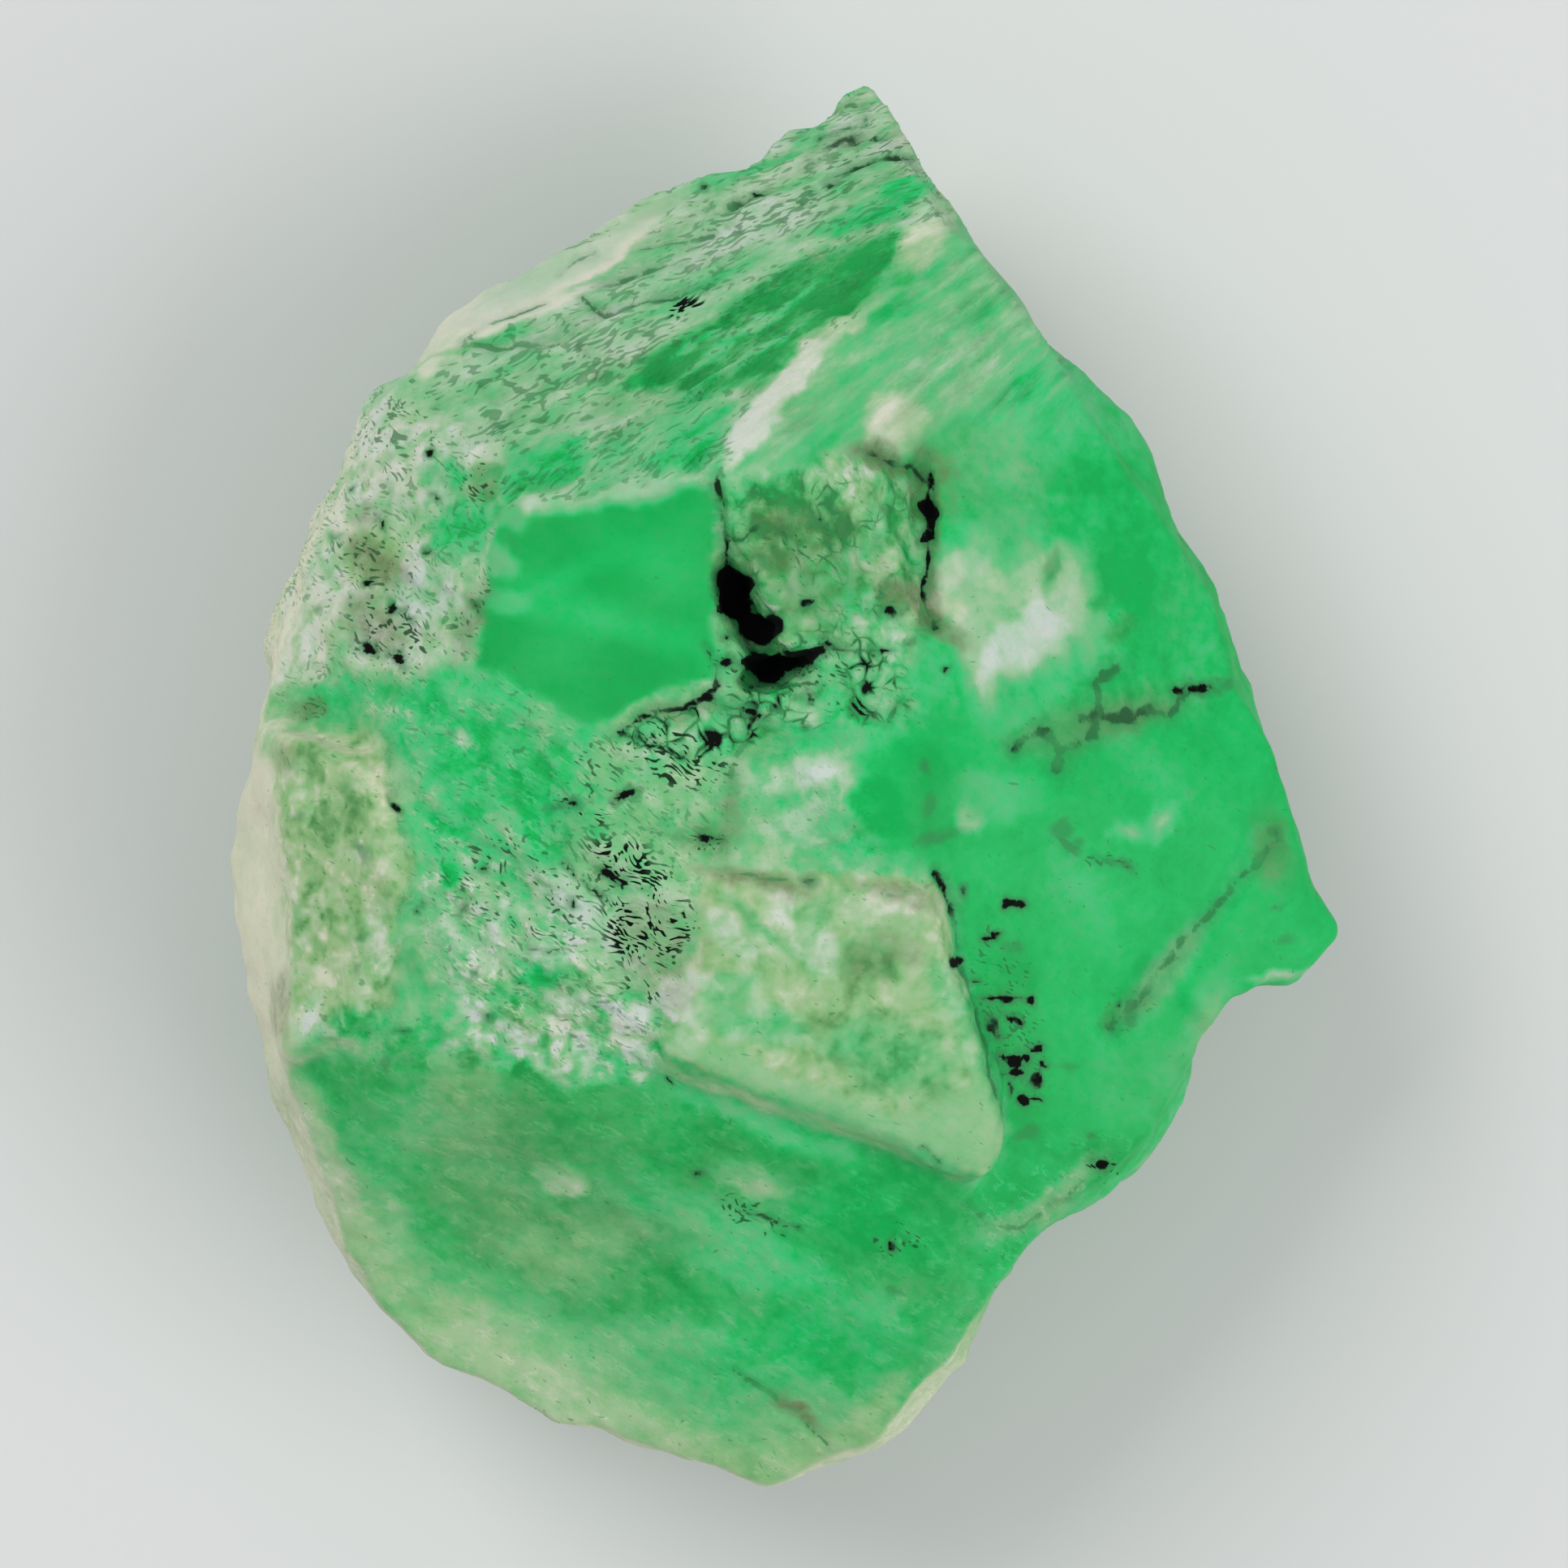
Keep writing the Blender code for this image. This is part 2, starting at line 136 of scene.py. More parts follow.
# large areas of the top: outline, softness of the border and what grows there
grounds = {
    "rightFace": {
        "outline": [
            (4.5, 19.6), (6.5, 20.6), (8.5, 18.4), (12.9, 13.8), (15.8, 6.8), (19.0, -2.7), (17.2, -1.3),
            (6.2, 1.9), (3.9, 1.9), (-0.5, 2.5), (-2.3, 10.6), (-0.5, 13.5), (2.4, 16.4),
        ],
        "soft": 0.8, "tone": 0.22, "warmth": 0.05, "grain": 0.3,
    },
    "streakedCorner": {
        "outline": [
            (4.5, 19.6), (6.5, 20.3), (8.5, 18.4), (11.7, 15.0), (9.7, 12.6), (6.2, 12.9), (2.4, 12.4),
            (-0.2, 10.9), (-2.2, 10.6), (-0.5, 13.5), (2.4, 16.4),
        ],
        "soft": 1.2, "tone": 0.51, "warmth": 0.12, "fibre": 0.9,
    },
    "fibrousFace": {
        "outline": [
            (2.7, 25.7), (6.8, 20.5), (4.5, 19.6), (2.4, 16.4), (-0.5, 13.5), (-2.3, 10.6), (-6.6, 9.9),
            (-9.5, 9.3), (-10.6, 10.0), (-12.9, 11.2), (-17.3, 9.5), (-17.6, 12.9), (-15.3, 15.0),
            (-10.0, 18.4), (-3.1, 22.5), (1.0, 24.2),
        ],
        "soft": 0.3, "tone": 0.66, "warmth": 0.14, "fibre": 1, "pits": 1.12,
    },
    "deepStrip": {
        "outline": [
            (-4.8, 14.4), (-3.4, 13.1), (-0.5, 14.2), (2.7, 16.8), (4.5, 19.3), (3.3, 19.5), (1.0, 18.4),
            (-1.9, 16.8), (-4.2, 15.5),
        ],
        "soft": 0.5, "tone": 0, "warmth": 0.4, "fibre": 1.4, "pits": 0.5,
    },
    "lowerStrip": {
        "outline": [
            (-10.9, 10.6), (-9.5, 10.0), (-6.6, 10.5), (-2.8, 11.0), (-1.0, 13.2), (-2.5, 13.5),
            (-4.8, 12.6), (-7.7, 12.2), (-10.3, 11.5),
        ],
        "soft": 0.6, "tone": 0.38, "warmth": 0, "fibre": 1.3, "pits": 0.8,
    },
    "granularSide": {
        "outline": [
            (-10.3, 11.8), (-9.7, 9.5), (-10.0, 7.7), (-10.6, 4.2), (-12.9, 3.9), (-15.5, 3.4),
            (-17.9, 2.8), (-19.3, 4.8), (-19.0, 6.6), (-17.6, 9.2), (-17.3, 10.6), (-15.3, 14.4),
            (-12.4, 13.5),
        ],
        "soft": 0.8, "tone": 0.84, "warmth": 0.3, "fibre": 0.1, "grain": 0.6, "pits": 0.94, "curd": 0.5,
    },
    "smoothRhombus": {
        "outline": [
            (-9.9, 9.5), (-2.5, 10.5), (-2.3, 7.7), (-2.5, 3.9), (-6.6, 2.1), (-10.6, 3.4), (-10.3, 6.3),
        ],
        "soft": 0.15, "tone": 0.04, "warmth": 0.12, "fibre": 0, "grain": 0, "pits": 0,
    },
    "greenHollow": {
        "outline": [
            (-15.5, 3.4), (-10.6, 4.1), (-7.1, 2.2), (-5.7, 1.9), (-7.1, -1.0), (-6.6, -3.3),
            (-10.0, -2.7), (-12.6, -1.0), (-13.5, 1.0),
        ],
        "soft": 0.5, "tone": 0.22, "warmth": 0, "grain": 0.45, "flow": 0.8, "pits": 0.55,
    },
    "flakyGround": {
        "outline": [
            (-12.9, -0.4), (-10.0, -2.7), (-6.6, -3.3), (-3.9, -6.2), (-3.9, -9.4), (-5.1, -10.3),
            (-9.5, -9.4), (-11.8, -7.4), (-12.9, -3.9),
        ],
        "soft": 0.8, "tone": 0.65, "warmth": 0.22, "grain": 0.7, "flow": 1, "pits": 0.75, "curd": 0.35,
    },
    "pittedGround": {
        "outline": [
            (-5.7, 2.2), (-2.2, 2.5), (-1.9, 0.2), (-2.5, -3.0), (-3.4, -4.8), (-4.2, -7.9),
            (-6.0, -7.7), (-7.4, -4.5), (-8.3, -1.0),
        ],
        "soft": 0.7, "tone": 0.54, "warmth": 0.3, "grain": 0.5, "flow": 0.6, "pits": 1, "curd": 0.4,
    },
    "mottledGround": {
        "outline": [
            (-2.2, 10.3), (-0.2, 10.9), (2.7, 11.8), (5.0, 10.6), (5.0, 6.0), (3.9, 2.5), (1.0, 2.8),
            (-0.8, 4.8), (-2.1, 7.1),
        ],
        "soft": 0.6, "tone": 0.33, "warmth": 0.5, "grain": 0.8, "pits": 0.5, "vein": 0.5, "curd": 0.9,
    },
    "veinGround": {
        "outline": [
            (-6.0, 1.6), (-2.5, 3.2), (-0.2, 3.4), (1.0, 4.8), (3.9, 4.8), (4.8, 2.5), (2.7, 1.9),
            (-0.2, 1.9), (-1.9, 1.0), (-4.8, 0.8),
        ],
        "soft": 0.5, "tone": 0.38, "warmth": 0.12, "grain": 0.8, "pits": 0.7, "curd": 0.5, "vein": 1,
    },
    "paleMiddle": {
        "outline": [
            (-1.9, 1.0), (2.1, 1.0), (2.7, -1.9), (5.3, -3.3), (2.4, -3.5), (-0.5, -3.3), (-2.3, -3.0),
            (-2.1, -1.0),
        ],
        "soft": 0.7, "tone": 0.5, "warmth": 0.1, "grain": 0.7, "pits": 0.2,
    },
    "rightMiddle": {
        "outline": [
            (5.6, 2.5), (17.2, 2.5), (19.0, -2.4), (20.7, -5.3), (19.0, -7.7), (15.5, -7.7),
            (13.2, -12.6), (9.7, -15.5), (6.5, -14.9), (7.9, -12.6), (6.5, -6.8), (5.3, -3.3),
            (3.0, -1.9), (2.7, 1.0),
        ],
        "soft": 0.8, "tone": 0.09, "warmth": 0, "grain": 0.1, "flow": 0.1, "pits": 0.12,
    },
    "triangleSlab": {
        "outline": [
            (-4.2, -9.4), (-3.9, -7.4), (-2.5, -3.0), (5.3, -3.3), (7.8, -12.3), (6.8, -13.7),
        ],
        "soft": 0.1, "tone": 0.6, "warmth": 0.86, "grain": 0.26, "pits": 0.1, "flow": 0.1,
        "fibre": 0, "curd": 0.7,
    },
    "leftSlab": {
        "outline": [
            (-18.0, 1.8), (-15.8, 1.8), (-14.1, 1.6), (-13.5, -1.0), (-13.1, -2.7), (-13.4, -5.3),
            (-13.8, -8.2), (-17.0, -9.4), (-17.7, -5.3), (-18.0, -2.4),
        ],
        "soft": 0.25, "tone": 0.62, "warmth": 0.88, "grain": 0.34, "pits": 0.3, "flow": 0, "curd": 1,
    },
    "paleRim": {
        "outline": [
            (-20.2, -1.0), (-19.0, 1.3), (-18.0, 0.8), (-17.8, -3.9), (-17.2, -9.1), (-17.9, -11.4),
            (-19.6, -6.8),
        ],
        "soft": 0.35, "tone": 0.97, "warmth": 0.75, "grain": 0.1, "pits": 0,
    },
    "lowerFace": {
        "outline": [
            (-17.3, -9.4), (-14.1, -8.8), (-11.8, -8.2), (-9.5, -9.7), (-4.8, -10.4), (-4.1, -9.6),
            (6.6, -13.8), (6.6, -15.5), (7.9, -17.2), (7.1, -20.7), (4.2, -23.6), (-0.6, -25.9),
            (-7.7, -23.6), (-14.7, -19.5), (-17.9, -14.0),
        ],
        "soft": 0.3, "tone": 0.13, "warmth": 0.42, "grain": 0.24, "flow": 0.35, "pits": 0.12,
    },
    "lowerRightFace": {
        "outline": [
            (7.9, -12.6), (13.5, -12.6), (10.0, -15.5), (7.1, -19.5), (6.6, -15.5),
        ],
        "soft": 0.6, "tone": 0.05, "warmth": 0.1, "grain": 0.2, "flow": 0.6, "pits": 0.35,
    },
}

# smaller areas that change only what they name
marks = {
    "cloudHalo": {
        "outline": [
            (5.6, 8.0), (7.7, 7.6), (9.7, 8.3), (11.3, 8.0), (11.1, 6.4), (10.7, 4.5), (9.0, 3.7),
            (7.4, 2.5), (6.5, 3.4), (5.8, 5.4),
        ],
        "soft": 0.5, "tone": 0.66, "warmth": 0.3,
    },
    "cloudCore": {
        "outline": [
            (7.4, 5.1), (7.9, 5.8), (8.6, 6.4), (9.3, 6.6), (9.5, 6.0), (10.2, 5.5), (10.2, 5.0),
            (9.4, 4.4), (8.7, 4.0), (7.5, 2.8), (7.0, 2.8), (6.8, 3.5), (6.9, 4.4),
        ],
        "soft": 0.2, "tone": 0.95, "warmth": 0.12,
    },
    "cloudWisp": {
        "outline": [
            (9.4, 6.4), (9.7, 7.2), (10.2, 7.8), (10.6, 7.4), (10.2, 6.3), (9.6, 5.7),
        ],
        "soft": 0.35, "tone": 0.7, "warmth": 0.2,
    },
    "bottomGround": {
        "outline": [
            (-17.6, -12.6), (-15.0, -14.0), (-11.8, -17.2), (-7.7, -19.5), (-1.9, -19.5), (2.4, -21.3),
            (4.8, -21.3), (6.2, -19.5), (6.8, -21.3), (3.9, -24.2), (-0.6, -26.2), (-9.5, -23.6),
            (-15.3, -19.5), (-18.2, -14.3),
        ],
        "soft": 1.2, "tone": 0.47, "warmth": 0.42,
    },
    "creamTop": {
        "outline": [
            (2.7, 12.1), (3.1, 13.7), (4.9, 13.9), (5.4, 12.5), (4.7, 11.7), (3.5, 11.6),
        ],
        "soft": 0.45, "tone": 0.78, "warmth": 0.55,
    },
    "blockGround": {
        "outline": [
            (-11.3, -7.4), (-7.7, -7.7), (-3.9, -7.1), (-3.4, -8.6), (-4.8, -10.3), (-7.7, -10.4),
            (-11.5, -9.9),
        ],
        "soft": 0.3, "tone": 0.47, "warmth": 0.15, "curd": 1.15, "grain": 0.7,
    },
    "blockStem": {
        "outline": [
            (-8.5, -8.1), (-7.7, -8.1), (-7.9, -9.7), (-8.3, -9.8),
        ],
        "soft": 0.08, "tone": 0.84, "warmth": 0.15,
    },
    "blockRight": {
        "outline": [
            (-6.1, -8.3), (-5.0, -8.2), (-4.9, -9.1), (-5.7, -9.5), (-6.2, -9.0),
        ],
        "soft": 0.08, "tone": 0.78, "warmth": 0.2,
    },
    "blockLeft": {
        "outline": [
            (-9.7, -8.5), (-8.9, -8.2), (-8.8, -9.4), (-9.5, -9.7),
        ],
        "soft": 0.1, "tone": 0.7, "warmth": 0.1,
    },
    "slabFoot": {
        "outline": [
            (-4.2, -9.0), (-1.8, -9.0), (-0.2, -10.2), (3.9, -11.7), (5.9, -10.6), (7.4, -10.6),
            (7.9, -12.4), (6.8, -13.7), (1.9, -12.2), (-1.9, -10.3),
        ],
        "soft": 0.3, "tone": 0.56, "warmth": 0.5, "grain": 0.16, "curd": 0.1,
    },
    "slabRightRim": {
        "outline": [
            (4.9, -6.2), (6.0, -6.2), (7.1, -9.4), (7.9, -12.3), (6.5, -11.1), (5.6, -8.5),
        ],
        "soft": 0.4, "tone": 0.55, "warmth": 0.35, "grain": 0.25,
    },
    "leftFoot": {
        "outline": [
            (-15.3, -7.8), (-11.8, -7.8), (-10.3, -8.8), (-11.8, -9.7), (-16.4, -9.7), (-17.2, -8.8),
        ],
        "soft": 0.5, "tone": 0.4, "warmth": 0.25, "grain": 0.8,
    },
    "rimBand": {
        "outline": [
            (-18.2, -10.8), (-16.6, -15.2), (-14.8, -18.7), (-13.5, -20.7), (-10.6, -21.7),
            (-8.7, -23.0), (-6.0, -23.5), (-3.9, -24.5), (-0.6, -25.6), (2.4, -24.2), (4.5, -21.0),
            (4.0, -20.7), (1.6, -23.5), (-0.6, -24.0), (-3.3, -23.1), (-5.3, -22.2), (-7.7, -21.6),
            (-10.1, -20.1), (-11.8, -19.2), (-13.5, -17.8), (-15.2, -14.7), (-16.5, -11.3),
        ],
        "soft": 0.4, "tone": 0.62, "warmth": 0.75,
    },
    "rimBlock": {
        "outline": [
            (-13.1, 15.0), (-12.4, 16.6), (-10.6, 17.9), (-8.9, 18.4), (-6.6, 19.4), (-4.8, 20.4),
            (-3.4, 21.3), (-4.8, 19.3), (-6.7, 17.8), (-8.0, 16.6), (-10.0, 15.9), (-11.5, 15.3),
            (-12.5, 14.3),
        ],
        "soft": 0.2, "tone": 1, "warmth": 0.6, "pits": 0, "fibre": 0.25,
    },
}

# broad ovals laid over the areas in this order: middle, half length, half width and heading,
# then tone, warmth and softness
patches = {
    "fibrousFace": [
        (-5.8, 10, 3.71, 0.26, 9, 0.74, 0.05, 0.35), (-9, 9.6, 0.64, 0.26, 10, 0.9, 0.05, 0.2),
        (-11, 16.6, 2.76, 1.22, 38, 1, 0.55, 0.35), (-7.1, 19.3, 4.64, 0.75, 32, 0.86, 0.25, 0.35),
        (0, 20.6, 3.48, 0.46, 30, 0.84, 0.15, 0.35), (2.7, 24.5, 1.04, 0.87, 0, 0.66, 0.15, 0.35),
        (2.7, 23.2, 1.45, 0.75, 25, 0.6, 0.1, 0.35),
    ],
    "leftSide": [
        (-17.1, 5.5, 2.09, 1.33, 65, 0.94, 0.45, 0.35), (-12.7, 6.6, 1.33, 0.75, -20, 0.88, 0, 0.35),
        (-11.3, 9, 1.22, 1.16, 0, 0.3, 0, 0.8), (-14.6, 8.1, 1.16, 1.04, 30, 0.6, 0.85, 0.35),
        (-10.6, 10.6, 0.46, 0.58, 0, 0.3, 0.95, 0.35), (-11.8, 10.9, 0.99, 0.52, 0, 0.3, 0, 0.35),
        (-15.3, 2.8, 1.74, 0.75, -10, 0.42, 0.1, 0.35), (-18, 2.5, 1.16, 0.58, 75, 0.5, 0.4, 0.35),
    ],
    "crown": [
        (2, 10.6, 0.99, 0.64, 10, 0.6, 0.25, 0.35), (1.3, 11.8, 1.74, 0.75, 40, 0.46, 0.1, 0.8),
        (0.6, 8.9, 1.45, 0.99, -20, 0.2, 0.9, 0.35),
    ],
    "rightFace": [
        (7.1, 8, 1.45, 0.87, 20, 0.55, 0.1, 0.8), (7.4, 11.8, 1.74, 2.32, 60, 0.34, 0.3, 0.8),
        (13.5, 7.1, 6.96, 2.18, -63, 0.04, 0, 0.8), (3.1, -0.6, 0.75, 0.87, 0, 0.02, 0, 0.35),
    ],
    "cloudyMiddle": [
        (0.6, 0.3, 1.51, 0.46, 22, 0.76, 0, 0.35), (0.3, -1.4, 1.33, 0.64, 30, 0.72, 0, 0.35),
        (1, -2.1, 1.45, 0.23, 5, 0.7, 0.1, 0.35), (6.5, -1.2, 0.46, 0.46, 0, 0.66, 0.1, 0.35),
        (12.1, -1.7, 0.38, 0.23, 0, 0.6, 0.1, 0.35), (13.4, -1.3, 0.58, 0.26, 50, 0.66, 0, 0.35),
    ],
    "rightEdge": [
        (11.1, 2.3, 2.49, 0.75, 14, 0.24, 0.6, 0.8), (10.6, 4.8, 1.16, 0.75, 30, 0.4, 0.1, 0.8),
        (17.4, -2.3, 1.45, 0.7, -70, 0.1, 0.3, 0.35), (17.9, -6.9, 0.64, 0.12, 0, 0.85, 0.1, 0.2),
        (13.7, -6.6, 2.26, 0.58, 52, 0.36, 0.35, 0.35), (12.6, -10.6, 1.74, 1.74, 0, 0.16, 0.1, 0.8),
        (14.9, -8.5, 1.45, 0.35, 62, 0.4, 0.4, 0.8),
    ],
    "triangleSlab": [
        (1.3, -5, 3.05, 1.16, -4, 0.64, 0.7, 0.8), (3, -6, 1.1, 0.75, -10, 0.3, 0.85, 0.35),
        (3.7, -4.2, 1.45, 0.58, 0, 0.78, 0.5, 0.35), (-3.4, -8.1, 1.33, 0.81, 75, 0.78, 0.4, 0.35),
        (3.6, -9.4, 2.49, 1.04, -20, 0.34, 0.5, 0.8), (-0.8, -8.4, 1.74, 0.75, -15, 0.44, 0.2, 0.35),
    ],
    "flakySlope": [
        (-7.7, -4, 1.91, 0.87, -35, 0.62, 0, 0.8), (-8.7, -6.4, 2.44, 0.17, 4, 0.85, 0.05, 0.2),
        (-10.9, -6.8, 1.04, 0.87, 0, 0.6, 0.1, 0.35), (-11, 1.7, 0.32, 0.23, 0, 0.9, 0.05, 0.2),
        (-11.8, -1.3, 1.74, 0.87, -50, 0.3, 0, 0.8), (-9.2, 0.2, 2.03, 1.16, -20, 0.1, 0.05, 0.8),
    ],
    "lowerFace": [
        (-9, -14.4, 4.64, 2.9, -42, 0.31, 0.62, 0.8), (-10.8, -11, 1.91, 1.04, -20, 0.32, 0.65, 0.8),
        (-7.9, -14, 0.58, 0.75, 30, 0.6, 0.45, 0.2), (-13.9, -15.5, 0.7, 0.35, -70, 0.62, 0.45, 0.35),
        (1, -12.6, 5.1, 0.87, -21, 0.1, 0.15, 0.8), (-1, -14, 1.51, 0.52, -20, 0.46, 0.2, 0.35),
        (-15.7, -16.4, 4.06, 1.16, -64, 0.6, 0.7, 0.8), (-11.5, -19.5, 2.9, 0.87, -35, 0.66, 0.7, 0.8),
        (-6.3, -22.3, 3.77, 0.87, -14, 0.66, 0.55, 0.8), (-3.1, -21, 3.77, 1.45, -10, 0.47, 0.28, 0.8),
        (1, -24, 3.77, 0.75, 16, 0.56, 0.75, 0.8),
    ],
    "rims": [
        (9.5, 7.4, 0.46, 0.23, 80, 0.22, 0.5, 0.25), (-16.8, -12.6, 2.32, 0.64, -75, 0.66, 0.6, 0.8),
        (8.2, -15.5, 1.74, 0.52, 20, 0.4, 0.4, 0.35), (-2.5, 21.4, 3.02, 0.64, 28, 0.74, 0.2, 0.35),
        (2.3, 23.6, 1.51, 0.87, 48, 0.74, 0.35, 0.35),
    ],
}

